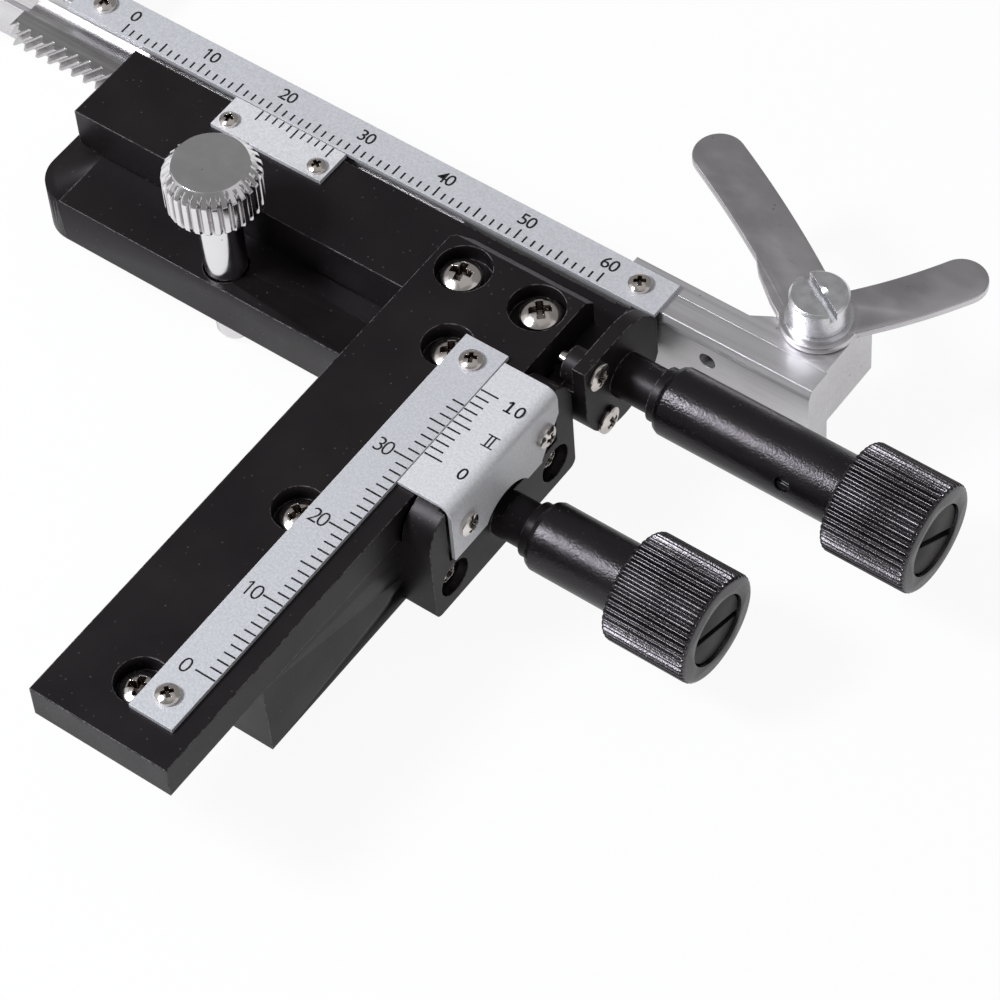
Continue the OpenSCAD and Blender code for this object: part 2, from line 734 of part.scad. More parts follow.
// Fluted knob with rounded ends, bored from the left, recessed at the right
module knob(x, y, z, bore_r) {
    r = knob_d / 2;
    difference() {
        translate([x, y, z]) rotate([0, 90, 0]) intersection() {
            linear_extrude(knob_l) fluted(r, knob_flutes, 0.3);
            rotate_extrude() polygon([
                [0, 0], [r - 0.5, 0], [r - 0.2, 0.2], [r + 0.1, 0.6],
                [r + 0.1, knob_l - 0.9], [r - 0.15, knob_l - 0.35], [r - 0.5, knob_l],
                [0, knob_l]]);
        }
        along_x(x - 1, x + 7 + run, y, z, bore_r);
        along_x(x + 6, x + knob_l, y, z, 0.9);
        along_x(x + knob_l - 1.6, x + knob_l + 1, y, z, disc_r + 0.12);
    }
}

// Disc headed screw with one slot
module knob_screw(x, y, z) {
    difference() {
        translate([x, y, z]) rotate([0, 90, 0]) rotate_extrude() polygon([
            [0, knob_l - 7.4], [0.8, knob_l - 7.4], [0.8, knob_l - 1.6], [disc_r, knob_l - 1.6],
            [disc_r, knob_l - 0.5], [disc_r - 0.2, knob_l - 0.3], [0, knob_l - 0.3]]);
        translate([x + knob_l - 0.9, y, z]) rotate([-12, 0, 0])
            translate([0, -0.4, -4]) cube([2, 0.8, 8]);
    }
}

module friction_washer(x, y, z, bore_r) {
    difference() {
        along_x(x, x + washer_t, y, z, 3.2);
        along_x(x - 1, x + 1, y, z, bore_r);
    }
}

module y_knob() { color(paint) knob(y_knob_x, y_axis_y, y_axis_z, y_shaft_r + run); }
module y_knob_screw() { color(paint) knob_screw(y_knob_x, y_axis_y, y_axis_z); }
module y_friction_washer() {
    color(brass) friction_washer(y_knob_x - washer_t, y_axis_y, y_axis_z, y_shaft_r + run);
}

module x_worm_shaft() {
    color(nickel) difference() {
        union() {
            translate([worm_x - worm_w / 2, x_axis_y, x_axis_z]) rotate([90, 0, 90])
                linear_extrude(worm_w, twist = -360 * worm_w / lead, slices = 16)
                    rotate(-180 * worm_w / lead) gear_outline(x_starts, x_worm_r, worm_tip_r,
                        worm_root_r, 28, backlash);
            along_x(-beam_left + 1, x_knob_x, x_axis_y, x_axis_z, x_shaft_r);
            along_x(beam_right - lug_t - 0.9, x_knob_x + 7, x_axis_y, x_axis_z, x_journal_r);
        }
        along_x(x_knob_x + 2, x_knob_x + 8, x_axis_y, x_axis_z, 0.8 + run);
    }
}

module x_knob() { color(paint) knob(x_knob_x, x_axis_y, x_axis_z, x_journal_r + run); }
module x_knob_screw() { color(paint) knob_screw(x_knob_x, x_axis_y, x_axis_z); }
module x_friction_washer() {
    color(brass) friction_washer(x_knob_x - washer_t, x_axis_y, x_axis_z, x_journal_r + run);
}

// ===================================================== X slide
module slide_bar() {
    c = bar_chamfer;
    groove_z = tongue_z - slide_gap;
    color(satin) difference() {
        profile_x(bar_left, bar_right) polygon([
            [bar_y, bar_lift], [bar_y, bar_top - c], [bar_y + c * 0.6, bar_top],
            [bar_back, bar_top], [bar_back, bar_lift]]);
        box([bar_left - 1, bar_y - 1, groove_z],
            [groove_right, bar_y + tongue_reach + 0.1, groove_z + tongue_h + 2 * slide_gap]);
        for (x = rack_screw_x) {
            along_y(bar_y - 1, bar_back + 1, x, x_axis_z, 0.8 + run);
            along_y(bar_back - 1.1, bar_back + 1, x, x_axis_z, 1.6);
        }
        for (p = block_screw_at) along_y(bar_y - 1, bar_back + 1, p[0], p[1], 0.9 + run);
        for (x = finger_screw_x) along_y(bar_back - 2, bar_back + 1, x, finger_screw_z, 0.8 + run);
        for (x = x_ruler_screw_x) along_z(bar_top - 1.6, bar_top + 1, x, x_ruler_screw_y, 0.6 + run);
    }
}

rack_screw_x = [for (i = [0:2]) xrack_left + 5 + i * (xrack_l - 10) / 2];
finger_screw_z = 5.2;
x_ruler_screw_y = bar_y + 1.9;

// T-shaped rail with slanted teeth cut across its front face
module x_rack_rail() {
    zc = x_axis_z;
    depth = xrack_root_y - xrack_y;
    normal_pitch = x_pitch * cos(slant);
    gap_tip = normal_pitch / 2 + depth * 0.4 * tan(24) * 2 + backlash / 2;
    gap_root = normal_pitch / 2 - depth * 0.6 * tan(24) * 2 + backlash / 2;
    first = worm_x - ceil((worm_x - xrack_left + 2) / x_pitch) * x_pitch;
    count = ceil((xrack_right + 2 - first) / x_pitch);
    color(nickel) difference() {
        profile_x(xrack_left, xrack_right) {
            translate([xrack_y, zc - t_head_h / 2]) square([t_head_d, t_head_h]);
            translate([xrack_y, zc - t_neck_h / 2]) square([bar_y - xrack_y, t_neck_h]);
        }
        for (i = [0:count - 1]) translate([first + i * x_pitch, xrack_y, zc])
            rotate([0, slant - 90, 0]) rotate([0, -90, 0]) translate([0, 0, -4])
                linear_extrude(8) polygon([
                    [-gap_tip / 2 - 0.05, -0.1], [-gap_root / 2, depth],
                    [gap_root / 2, depth], [gap_tip / 2 + 0.05, -0.1]]);
        for (x = rack_screw_x) along_y(bar_y - 3, bar_y + 1, x, zc, 0.8 + run);
    }
}

module rack_screws() {
    color(nickel) for (x = rack_screw_x)
        translate([x, bar_back - 1.1, x_axis_z]) rotate([-90, 0, 0])
            cross_screw(3, 1, 1.6, bar_t - 1.1 + 2.6);
}

module x_ruler() {
    color(satin) difference() {
        box([x_ruler_right - x_ruler_l, x_ruler_y, bar_top],
            [x_ruler_right, x_ruler_y + x_ruler_w, bar_top + ruler_t]);
        for (x = x_ruler_screw_x) along_z(bar_top - 1, bar_top + 2, x, x_ruler_screw_y, 0.6 + run);
    }
}

module x_ruler_screws() {
    color(nickel) for (x = x_ruler_screw_x)
        translate([x, x_ruler_screw_y, bar_top + ruler_t]) cross_screw(2.4, 0.8, 1.2, 2);
}

module end_block() {
    b = bar_back;
    color(satin) difference() {
        translate([0, 0, block_low]) linear_extrude(bar_top - block_low) polygon([
            [strip_left, b], [block_right, b], [block_right, b + block_d],
            [block_right - 6, b + block_d], [block_right - block_w + 2.4, b + strip_t + 1.4],
            [block_right - block_w, b + strip_t], [strip_left, b + strip_t]]);
        along_z(block_low - 1, bar_top + 1, pivot_x, pivot_y, pivot_r + run);
        along_z(bar_top - spring_pocket_h, bar_top + 1, pivot_x, pivot_y, spring_pocket_r);
        for (p = block_screw_at)
            along_y(b - 1, b + (p[0] < block_right - block_w + 2 ? strip_t + 1 : 3), p[0], p[1], 0.9 + run);
    }
}

module end_block_screws() {
    color(nickel) for (p = block_screw_at) difference() {
        along_y(bar_y + 1, bar_back + 1.5, p[0], p[1], 0.9);
        box([p[0] - 1, bar_y, p[1] - 0.15], [p[0] + 1, bar_y + 1.5, p[1] + 0.15]);
    }
}

module fixed_finger() {
    b = bar_back;
    color(nickel) difference() {
        union() {
            box([finger_face - 12.5, b, 0.3], [finger_face, b + finger_t, 7.6]);
            translate([0, 0, 0.3]) linear_extrude(finger_t) difference() {
                union() {
                    translate([finger_face - finger_w, b]) square([finger_w, finger_l - 3]);
                    translate([finger_face - finger_w / 2, b + finger_l - 3]) circle(finger_w / 2);
                }
                translate([finger_face + 26, b + finger_l - 3]) circle(26 - 0);
            }
        }
        for (x = finger_screw_x) along_y(b - 1, b + 4, x, finger_screw_z, 0.8 + run);
    }
}

module finger_screws() {
    color(nickel) for (x = finger_screw_x)
        translate([x, bar_back + finger_t, finger_screw_z]) rotate([-90, 0, 0])
            cross_screw(2.8, 1, 1.6, finger_t + 1.8);
}

clip_washer_z = clip_z + clip_t;
pivot_head_z = clip_washer_z + clip_washer_t + 0.03;

module pivot_screw() {
    h = pivot_head_h;
    color(nickel) translate([pivot_x, pivot_y, pivot_head_z]) difference() {
        rotate_extrude() polygon([
            [0, block_low + 1 - pivot_head_z], [pivot_r, block_low + 1 - pivot_head_z], [pivot_r, 0],
            [pivot_head_d / 2, 0], [pivot_head_d / 2, h - 0.25], [pivot_head_d / 2 - 0.25, h],
            [0.9, h], [0, h - 0.5]]);
        rotate(-30) translate([-4, -0.4, h - 1.1]) cube([8, 0.8, 2]);
    }
}

// Strip with a round end that leaves the pivot along a heading and bends to the left
function bend_centre(heading, r) = [pivot_x - r * sin(heading), pivot_y + r * cos(heading)];
module bent_strip(heading, bend, l, w) {
    c = bend_centre(heading, bend);
    sweep = (l - w / 2) / bend * 180 / PI;
    from = heading - 90;
    polygon(concat(
        [for (k = [0:8]) c + (bend + w / 2) * [cos(from + k * sweep / 8), sin(from + k * sweep / 8)]],
        [for (k = [8:-1:0]) c + (bend - w / 2) * [cos(from + k * sweep / 8), sin(from + k * sweep / 8)]]));
    translate(c + bend * [cos(from + sweep), sin(from + sweep)]) circle(w / 2);
}

// Sheet clip: curved arm, finger lever and a toe turned down along the arm's outer edge
module clip_lever() {
    c = bend_centre(arm_heading, arm_bend_r);
    tip = arm_heading - 90 + (clip_arm_l - arm_w / 2 - toe_w) / arm_bend_r * 180 / PI;
    color(nickel) difference() {
        union() {
            translate([0, 0, clip_z]) linear_extrude(clip_t) {
                translate([pivot_x, pivot_y]) circle(clip_hub_r);
                bent_strip(arm_heading, arm_bend_r, clip_arm_l, arm_w);
                bent_strip(lever_heading, lever_bend_r, lever_l, lever_w);
            }
            translate([c[0], c[1], toe_z]) rotate(tip)
                translate([arm_bend_r + arm_w / 2 - clip_t, 0, 0]) cube([clip_t, toe_w, clip_z - toe_z + clip_t / 2]);
        }
        along_z(clip_z - 1, clip_z + 2, pivot_x, pivot_y, pivot_r + run);
    }
}

module clip_washer() {
    color(satin) difference() {
        along_z(clip_washer_z, clip_washer_z + clip_washer_t, pivot_x, pivot_y, clip_washer_r);
        along_z(clip_z - 1, clip_z + 5, pivot_x, pivot_y, pivot_r + run);
    }
}

// Return spring: one unbroken wire around the pivot shoulder
spring_turns = 4.5;
wire_r = 0.22;
coil_r = 2.2;
spring_z = bar_top - spring_pocket_h + 0.5;
spring_pitch = 0.62;
function coil_point(a) = [coil_r * cos(a), coil_r * sin(a), spring_z + spring_pitch * a / 360];
module torsion_spring() {
    steps = 8 * spring_turns;
    sides = 6;
    pts = [for (i = [0:steps]) let (a = i * 45, c = coil_point(a))
        for (k = [0:sides - 1]) let (q = k * 360 / sides)
            c + [wire_r * cos(q) * cos(a), wire_r * cos(q) * sin(a), wire_r * sin(q)]];
    walls = [for (i = [0:steps - 1], k = [0:sides - 1]) let (n = (k + 1) % sides)
        each [[i * sides + k, i * sides + n, (i + 1) * sides + n],
            [i * sides + k, (i + 1) * sides + n, (i + 1) * sides + k]]];
    cap0 = [for (k = [1:sides - 2]) [0, k + 1, k]];
    cap1 = [for (k = [1:sides - 2]) [steps * sides, steps * sides + k, steps * sides + k + 1]];
    color(nickel) translate([pivot_x, pivot_y, 0]) polyhedron(pts, concat(walls, cap0, cap1));
}
echo(least_spring_gap = spring_pitch - 2 * wire_r);

// ===================================================== clamp screw
module retaining_ring() {
    color(nickel) difference() {
        along_z(ring_z, ring_z + ring_t, 0, 0, ring_r);
        along_z(-1, 3, 0, 0, 1.7 + run);
        box([-0.9, -5, -1], [0.9, 0, 3]);
    }
}

module thumbscrew() {
    top = base_t + thumb_clear;
    r = thumb_r;
    s = thumb_shank_d / 2;
    t = thumb_thread_d / 2;
    color(nickel) {
        difference() {
            rotate_extrude() polygon([
                [0, -thumb_reach], [t * 0.45, -thumb_reach + 0.12], [t * 0.8, -thumb_reach + 0.55],
                [t, -thumb_reach + 1.3], [t, ring_z - 0.1], [1.7, ring_z - 0.1],
                [1.7, ring_z + ring_t + 0.1], [s, ring_z + ring_t + 0.1], [s, top + 1], [0, top + 1]]);
        }
        translate([0, 0, top]) intersection() {
            linear_extrude(thumb_h) fluted(r, thumb_flutes, 0.35);
            rotate_extrude() polygon([
                [0, 0], [r - 0.5, 0], [r + 0.1, 0.4], [r + 0.1, thumb_h - 1.1], [r - 0.9, thumb_h - 0.15],
                [r - 1.3, thumb_h], [0, thumb_h]]);
        }
    }
}

base_frame();
y_gib();
y_gib_screws();
y_bearing_bracket();
y_bracket_screws();
y_vernier_plate();
y_vernier_screws();
y_sleeve();
y_plate();
y_rail();
y_rack();
rail_screws();
beam_screws();
y_ruler();
y_ruler_screws();
x_beam();
x_bearing_flange();
x_flange_screws();
x_sleeve();
x_end_bush();
x_set_screw();
x_vernier_plate();
x_vernier_screws();
y_pinion_shaft();
y_knob();
y_knob_screw();
y_friction_washer();
x_worm_shaft();
x_knob();
x_knob_screw();
x_friction_washer();
slide_bar();
x_rack_rail();
rack_screws();
x_ruler();
x_ruler_screws();
end_block();
end_block_screws();
fixed_finger();
finger_screws();
pivot_screw();
torsion_spring();
clip_lever();
clip_washer();
retaining_ring();
thumbscrew();
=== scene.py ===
import math

import bpy
from mathutils import Matrix, Vector


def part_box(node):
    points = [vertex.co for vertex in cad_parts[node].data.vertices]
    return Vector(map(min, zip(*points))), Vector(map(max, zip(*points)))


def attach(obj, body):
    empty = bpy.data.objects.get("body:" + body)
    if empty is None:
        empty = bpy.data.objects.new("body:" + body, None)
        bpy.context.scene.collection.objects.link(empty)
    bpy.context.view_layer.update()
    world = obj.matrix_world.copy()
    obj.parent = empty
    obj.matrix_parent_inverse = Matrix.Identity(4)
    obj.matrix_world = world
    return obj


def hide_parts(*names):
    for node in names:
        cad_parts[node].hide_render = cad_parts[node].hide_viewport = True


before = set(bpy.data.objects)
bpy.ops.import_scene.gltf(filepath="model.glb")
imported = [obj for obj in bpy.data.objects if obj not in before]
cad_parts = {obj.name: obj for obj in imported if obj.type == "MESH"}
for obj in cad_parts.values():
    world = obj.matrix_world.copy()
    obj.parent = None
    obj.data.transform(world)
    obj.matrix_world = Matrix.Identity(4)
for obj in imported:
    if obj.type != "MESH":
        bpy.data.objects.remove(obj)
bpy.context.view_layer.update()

mm = 0.001
sameHeight = 1e-7  # metres within which two heights are one


def metres(values):
    return [value * mm for value in values]


# A CAD node's lowest and highest corners in millimetres
def cornersOf(node):
    low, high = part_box(node)
    return low / mm, high / mm


def deselectAll():
    for other in list(bpy.context.selected_objects):
        other.select_set(False)


def pick(piece):
    deselectAll()
    piece.select_set(True)
    bpy.context.view_layer.objects.active = piece


def settle(piece):
    pick(piece)
    bpy.ops.object.transform_apply(location=True, rotation=True, scale=True)
    return piece


def applyAll(piece):
    pick(piece)
    for modifier in list(piece.modifiers):
        bpy.ops.object.modifier_apply(modifier=modifier.name)


def smoothByAngle(piece, degrees):
    pick(piece)
    bpy.ops.object.shade_smooth_by_angle(angle=math.radians(degrees))


def roundEdges(piece, width, segments=2, degrees=40):
    bevel = piece.modifiers.new("edges", "BEVEL")
    bevel.width = width * mm
    bevel.segments = segments
    bevel.limit_method = "ANGLE"
    bevel.angle_limit = math.radians(degrees)
    bevel.use_clamp_overlap = False
    applyAll(piece)


# Cuts the other piece away, or fuses it on, and uses it up
def combine(piece, other, operation):
    step = piece.modifiers.new("combine", "BOOLEAN")
    step.operation = operation
    step.object = other
    step.solver = "EXACT"
    applyAll(piece)
    bpy.data.objects.remove(other)


def cutWith(piece, cutter):
    combine(piece, cutter, "DIFFERENCE")


def fuseWith(piece, other):
    combine(piece, other, "UNION")


def facesOut(piece):
    pick(piece)
    bpy.ops.object.mode_set(mode="EDIT")
    bpy.ops.mesh.select_all(action="SELECT")
    bpy.ops.mesh.normals_make_consistent(inside=False)
    bpy.ops.object.mode_set(mode="OBJECT")


def joined(name, parts):
    deselectAll()
    for part in parts:
        part.select_set(True)
    bpy.context.view_layer.objects.active = parts[0]
    if len(parts) > 1:
        bpy.ops.object.join()
    piece = bpy.context.view_layer.objects.active
    piece.name = name
    piece.data.name = name
    return settle(piece)


def copyPiece(template, name):
    piece = template.copy()
    piece.data = template.data.copy()
    piece.name = name
    piece.data.name = name
    bpy.context.scene.collection.objects.link(piece)
    return piece


def finishPiece(piece, body, material, replaces=()):
    piece.data.materials.clear()
    piece.data.materials.append(material)
    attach(piece, body)
    if replaces:
        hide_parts(*replaces)
    return piece


def coatNode(nodeNames, material):
    for nodeName in nodeNames:
        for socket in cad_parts[nodeName].material_slots:
            socket.material = material


def addCylinder(radius, high, middle, around):
    deselectAll()
    bpy.ops.mesh.primitive_cylinder_add(vertices=around, radius=radius * mm, depth=high * mm,
                                        location=(0, 0, middle * mm))
    return bpy.context.object


def addDisc(radius, around, z=0.0):
    deselectAll()
    bpy.ops.mesh.primitive_circle_add(vertices=around, radius=radius * mm, fill_type="NGON",
                                      location=(0, 0, z * mm))
    return settle(bpy.context.object)


def addBox(sides, middle, turn=0.0):
    deselectAll()
    bpy.ops.mesh.primitive_cube_add(size=1, location=metres(middle), rotation=(0, 0, math.radians(turn)))
    box = bpy.context.object
    box.scale = metres(sides)
    return settle(box)


def roundPoints(middle, radius, step):
    turns = [math.radians(angle) for angle in range(0, 360, step)]
    return [(middle[0] + radius * math.cos(turn), middle[1] + radius * math.sin(turn)) for turn in turns]


# Flat piece with this outline between two heights
def makePrism(points, low, high):
    piece = addDisc(1, len(points))
    for vertex, (x, y) in zip(piece.data.vertices, points):
        vertex.co = metres((x, y, low))
    bpy.ops.object.mode_set(mode="EDIT")
    bpy.ops.mesh.select_all(action="SELECT")
    bpy.ops.mesh.extrude_region_move(TRANSFORM_OT_translate={"value": (0, 0, (high - low) * mm)})
    bpy.ops.object.mode_set(mode="OBJECT")
    facesOut(piece)
    return piece


# Turns that point a piece made along Z upwards, to the right or to the back
facings = {"up": Matrix.Identity(4), "right": Matrix.Rotation(math.radians(90), 4, "Y"),
           "back": Matrix.Rotation(math.radians(-90), 4, "X")}


# Stands a piece made along Z at a place, turned about its own axis and then pointed
def faceAlong(piece, place, facing, turn=0.0):
    piece.matrix_world = (Matrix.Translation(Vector(place) * mm) @ facings[facing]
                          @ Matrix.Rotation(math.radians(turn), 4, "Z"))
    return settle(piece)


# Selects the round cap with this many corners at the top of a turned piece
def selectCap(piece, around):
    bpy.ops.object.mode_set(mode="EDIT")
    bpy.ops.mesh.select_all(action="DESELECT")
    bpy.ops.object.mode_set(mode="OBJECT")
    top = max(vertex.co.z for vertex in piece.data.vertices)
    for face in piece.data.polygons:
        face.select = len(face.vertices) == around and abs(face.center.z - top) < sameHeight
    bpy.ops.object.mode_set(mode="EDIT")


# Pulls that cap up by some metres as a new level
def liftCap(piece, around, rise):
    selectCap(piece, around)
    bpy.ops.mesh.extrude_region_move(TRANSFORM_OT_translate={"value": (0, 0, rise)})
    bpy.ops.object.mode_set(mode="OBJECT")


# Node tools: each makes or joins shader nodes in a tree
def newGroup(name, inputs, outputs):
    tree = bpy.data.node_groups.new(name, "ShaderNodeTree")
    for label, kind, value in inputs:
        socket = tree.interface.new_socket(name=label, in_out="INPUT", socket_type=kind)
        socket.default_value = value
    for label, kind in outputs:
        tree.interface.new_socket(name=label, in_out="OUTPUT", socket_type=kind)
    return tree, tree.nodes.new("NodeGroupInput"), tree.nodes.new("NodeGroupOutput")


def putValue(tree, socket, value):
    if isinstance(value, bpy.types.NodeSocket):
        tree.links.new(value, socket)
    else:
        socket.default_value = value


# A node with settings; a socket is named by its label, or n0, n1 for its number
def addNode(tree, kind, settings=None, **sockets):
    node = tree.nodes.new(kind)
    for key, value in (settings or {}).items():
        setattr(node, key, value)
    for key, value in sockets.items():
        byNumber = key[0] == "n" and key[1:].isdigit()
        putValue(tree, node.inputs[int(key[1:])] if byNumber else node.inputs[key.replace("_", " ")], value)
    return node


# Carries a value from the range low to high over to the range start to end, held at both ends
def ramp(tree, value, low, high, start=0.0, end=1.0):
    return addNode(tree, "ShaderNodeMapRange", n0=value, n1=low, n2=high, n3=start, n4=end).outputs[0]


def maths(tree, operation, first, second=0.0):
    return addNode(tree, "ShaderNodeMath", {"operation": operation}, n0=first, n1=second).outputs[0]


def times(tree, first, second):
    return maths(tree, "MULTIPLY", first, second)


def blendColour(tree, amount, first, second):
    node = addNode(tree, "ShaderNodeMix", {"data_type": "RGBA"}, n0=amount, n6=first, n7=second)
    return node.outputs[2]


# A colour made darker or paler by one factor, or by one for each of red, green and blue
def shade(colour, *factors):
    factors = factors * 3 if len(factors) == 1 else factors
    return (*(min(1.0, part * factor) for part, factor in zip(colour, factors)), 1)


def objectPlace(tree):
    return addNode(tree, "ShaderNodeTexCoord").outputs["Object"]


# Fine grain, scattered specks and soft clouds, as on enamel and blasted metal
grainShape = {"detail": 3.0, "speckCore": 0.10, "speckEdge": 0.32, "cloudSize": 120.0, "cloudDetail": 4.0}


def makeGrainGroup():
    tree, given, result = newGroup("fineGrain", [
        ("Grain Size", "NodeSocketFloat", 4000.0), ("Speck Size", "NodeSocketFloat", 1500.0),
        ("Speck Share", "NodeSocketFloat", 0.03)],
        [("Height", "NodeSocketFloat"), ("Specks", "NodeSocketFloat"), ("Cloud", "NodeSocketFloat")])
    place = objectPlace(tree)
    grain = addNode(tree, "ShaderNodeTexNoise", Vector=place, Scale=given.outputs["Grain Size"],
                    Detail=grainShape["detail"])
    cell = addNode(tree, "ShaderNodeTexVoronoi", Vector=place, Scale=given.outputs["Speck Size"])
    chosen = addNode(tree, "ShaderNodeTexWhiteNoise", {"noise_dimensions": "3D"},
                     Vector=cell.outputs["Position"])
    near = ramp(tree, cell.outputs["Distance"], grainShape["speckCore"], grainShape["speckEdge"], 1.0, 0.0)
    kept = maths(tree, "LESS_THAN", chosen.outputs["Value"], given.outputs["Speck Share"])
    cloud = addNode(tree, "ShaderNodeTexNoise", Vector=place, Scale=grainShape["cloudSize"],
                    Detail=grainShape["cloudDetail"])
    tree.links.new(grain.outputs[0], result.inputs["Height"])
    tree.links.new(times(tree, near, kept), result.inputs["Specks"])
    tree.links.new(cloud.outputs[0], result.inputs["Cloud"])
    return tree


# Rounded corners for the light, and a broken line along them: worn edges on bare metal and scale plates, and
# on the enamel partly worn paint and partly painted edge highlight
cornerShape = {"samples": 6, "sharp": 0.80, "flat": 0.96, "detail": 6.0, "noiseRoughness": 0.7, "soft": 0.08}


def makeCornerGroup():
    tree, given, result = newGroup("corners", [
        ("Round", "NodeSocketFloat", 0.00012), ("Reach", "NodeSocketFloat", 0.0002),
        ("Break Up", "NodeSocketFloat", 900.0), ("Share", "NodeSocketFloat", 0.5)],
        [("Normal", "NodeSocketVector"), ("Edge Line", "NodeSocketFloat")])
    samples = {"samples": cornerShape["samples"]}
    rounded = addNode(tree, "ShaderNodeBevel", samples, Radius=given.outputs["Round"])
    wide = addNode(tree, "ShaderNodeBevel", samples, Radius=given.outputs["Reach"])
    surface = addNode(tree, "ShaderNodeNewGeometry")
    match = addNode(tree, "ShaderNodeVectorMath", {"operation": "DOT_PRODUCT"},
                    n0=wide.outputs[0], n1=surface.outputs["Normal"])
    edge = ramp(tree, match.outputs["Value"], cornerShape["sharp"], cornerShape["flat"], 1.0, 0.0)
    noise = addNode(tree, "ShaderNodeTexNoise", Vector=objectPlace(tree), Scale=given.outputs["Break Up"],
                    Detail=cornerShape["detail"], Roughness=cornerShape["noiseRoughness"])
    level = maths(tree, "SUBTRACT", 1.0, given.outputs["Share"])
    broken = ramp(tree, noise.outputs[0], level, maths(tree, "ADD", level, cornerShape["soft"]))
    tree.links.new(rounded.outputs[0], result.inputs["Normal"])
    tree.links.new(times(tree, edge, broken), result.inputs["Edge Line"])
    return tree


# Long fine lines left by rolling, milling or turning
streakShape = {"detail": 3.0, "lineFrom": 0.4, "lineTo": 0.65}


def makeStreakGroup():
    tree, given, result = newGroup("streaks", [
        ("Stretch", "NodeSocketVector", (40.0, 3000.0, 3000.0)),
        ("Turn", "NodeSocketVector", (0.0, 0.0, 0.0))],
        [("Lines", "NodeSocketFloat"), ("Tone", "NodeSocketFloat")])
    turned = addNode(tree, "ShaderNodeVectorRotate", {"rotation_type": "EULER_XYZ"},
                     Vector=objectPlace(tree), Rotation=given.outputs["Turn"])
    pulled = addNode(tree, "ShaderNodeVectorMath", {"operation": "MULTIPLY"}, n0=turned.outputs[0],
                     n1=given.outputs["Stretch"])
    noise = addNode(tree, "ShaderNodeTexNoise", Vector=pulled.outputs[0], Scale=1.0,
                    Detail=streakShape["detail"])
    lines = ramp(tree, noise.outputs[0], streakShape["lineFrom"], streakShape["lineTo"])
    tree.links.new(lines, result.inputs["Lines"])
    tree.links.new(noise.outputs[0], result.inputs["Tone"])
    return tree


# Narrow hollows that take little light: a mask for painting shade into them
hollowShape = {"samples": 6, "covered": 0.45, "open": 0.92}


def makeHollowGroup():
    tree, given, result = newGroup("hollows", [("Depth", "NodeSocketFloat", 0.0005)],
                                   [("Mask", "NodeSocketFloat")])
    near = addNode(tree, "ShaderNodeAmbientOcclusion",
                   {"samples": hollowShape["samples"], "only_local": True}, Distance=given.outputs["Depth"])
    mask = ramp(tree, near.outputs["AO"], hollowShape["covered"], hollowShape["open"], 1.0, 0.0)
    tree.links.new(mask, result.inputs["Mask"])
    return tree


groups = {"grain": makeGrainGroup(), "corners": makeCornerGroup(), "streaks": makeStreakGroup(),
          "hollows": makeHollowGroup()}


def placeGroup(tree, name, **values):
    node = tree.nodes.new("ShaderNodeGroup")
    node.node_tree = groups[name]
    for key, value in values.items():
        node.inputs[key.replace("_", " ")].default_value = value
    return node.outputs


def newMaterial(name, metallic=0.0, specular=0.5, roughness=0.5):
    material = bpy.data.materials.new(name)
    material.use_nodes = True
    tree = material.node_tree
    shader = tree.nodes["Principled BSDF"]
    shader.inputs["Metallic"].default_value = metallic
    shader.inputs["Specular IOR Level"].default_value = specular
    shader.inputs["Roughness"].default_value = roughness
    return material, tree, shader


def addBump(tree, shader, height, strength, distance, normal):
    bump = addNode(tree, "ShaderNodeBump", Strength=strength, Distance=distance * mm, Height=height,
                   Normal=normal)
    tree.links.new(bump.outputs["Normal"], shader.inputs["Normal"])


# Black enamel: dark and faintly warm, with grain, dust specks, and pale broken lines on its corners that are
# partly worn paint and partly painted edge highlight
enamelTones = {"tint": (1.0, 0.93, 1.0, 1), "dark": 0.8, "pale": (1.3, 1.25, 1.25), "cloud": (0.3, 0.7),
               "dust": (0.12, 0.105, 0.105, 1), "dustSize": 2600.0, "dustShare": 0.5,
               "edgeColour": (0.3, 0.28, 0.29, 1), "edgeBreaks": 1300.0, "edgeStrength": 0.75,
               "smoother": 0.05, "rougher": 0.07}


def blackEnamel(name, look):
    tones = enamelTones
    material, tree, shader = newMaterial(name, specular=look["specular"])
    shader.inputs["Specular Tint"].default_value = tones["tint"]
    fine = placeGroup(tree, "grain", Grain_Size=look["grainSize"], Speck_Size=tones["dustSize"],
                      Speck_Share=look["specks"])
    corner = placeGroup(tree, "corners", Round=look["round"] * mm, Reach=look["reach"] * mm,
                        Break_Up=tones["edgeBreaks"], Share=look["wear"])
    colour = look["colour"]
    soft = blendColour(tree, ramp(tree, fine["Cloud"], *tones["cloud"]), shade(colour, tones["dark"]),
                       shade(colour, *tones["pale"]))
    dusty = blendColour(tree, times(tree, fine["Specks"], tones["dustShare"]), soft, tones["dust"])
    # Pale broken lines on the corners: partly worn paint, partly painted edge highlight
    wornAndLitEdges = blendColour(tree, times(tree, corner["Edge Line"], tones["edgeStrength"]), dusty, tones["edgeColour"])
    tree.links.new(wornAndLitEdges, shader.inputs["Base Color"])
    rough = look["roughness"]
    uneven = ramp(tree, fine["Cloud"], *tones["cloud"], rough - tones["smoother"], rough + tones["rougher"])
    tree.links.new(uneven, shader.inputs["Roughness"])
    addBump(tree, shader, fine["Height"], look["bump"], look["bumpHigh"], corner["Normal"])
    return material
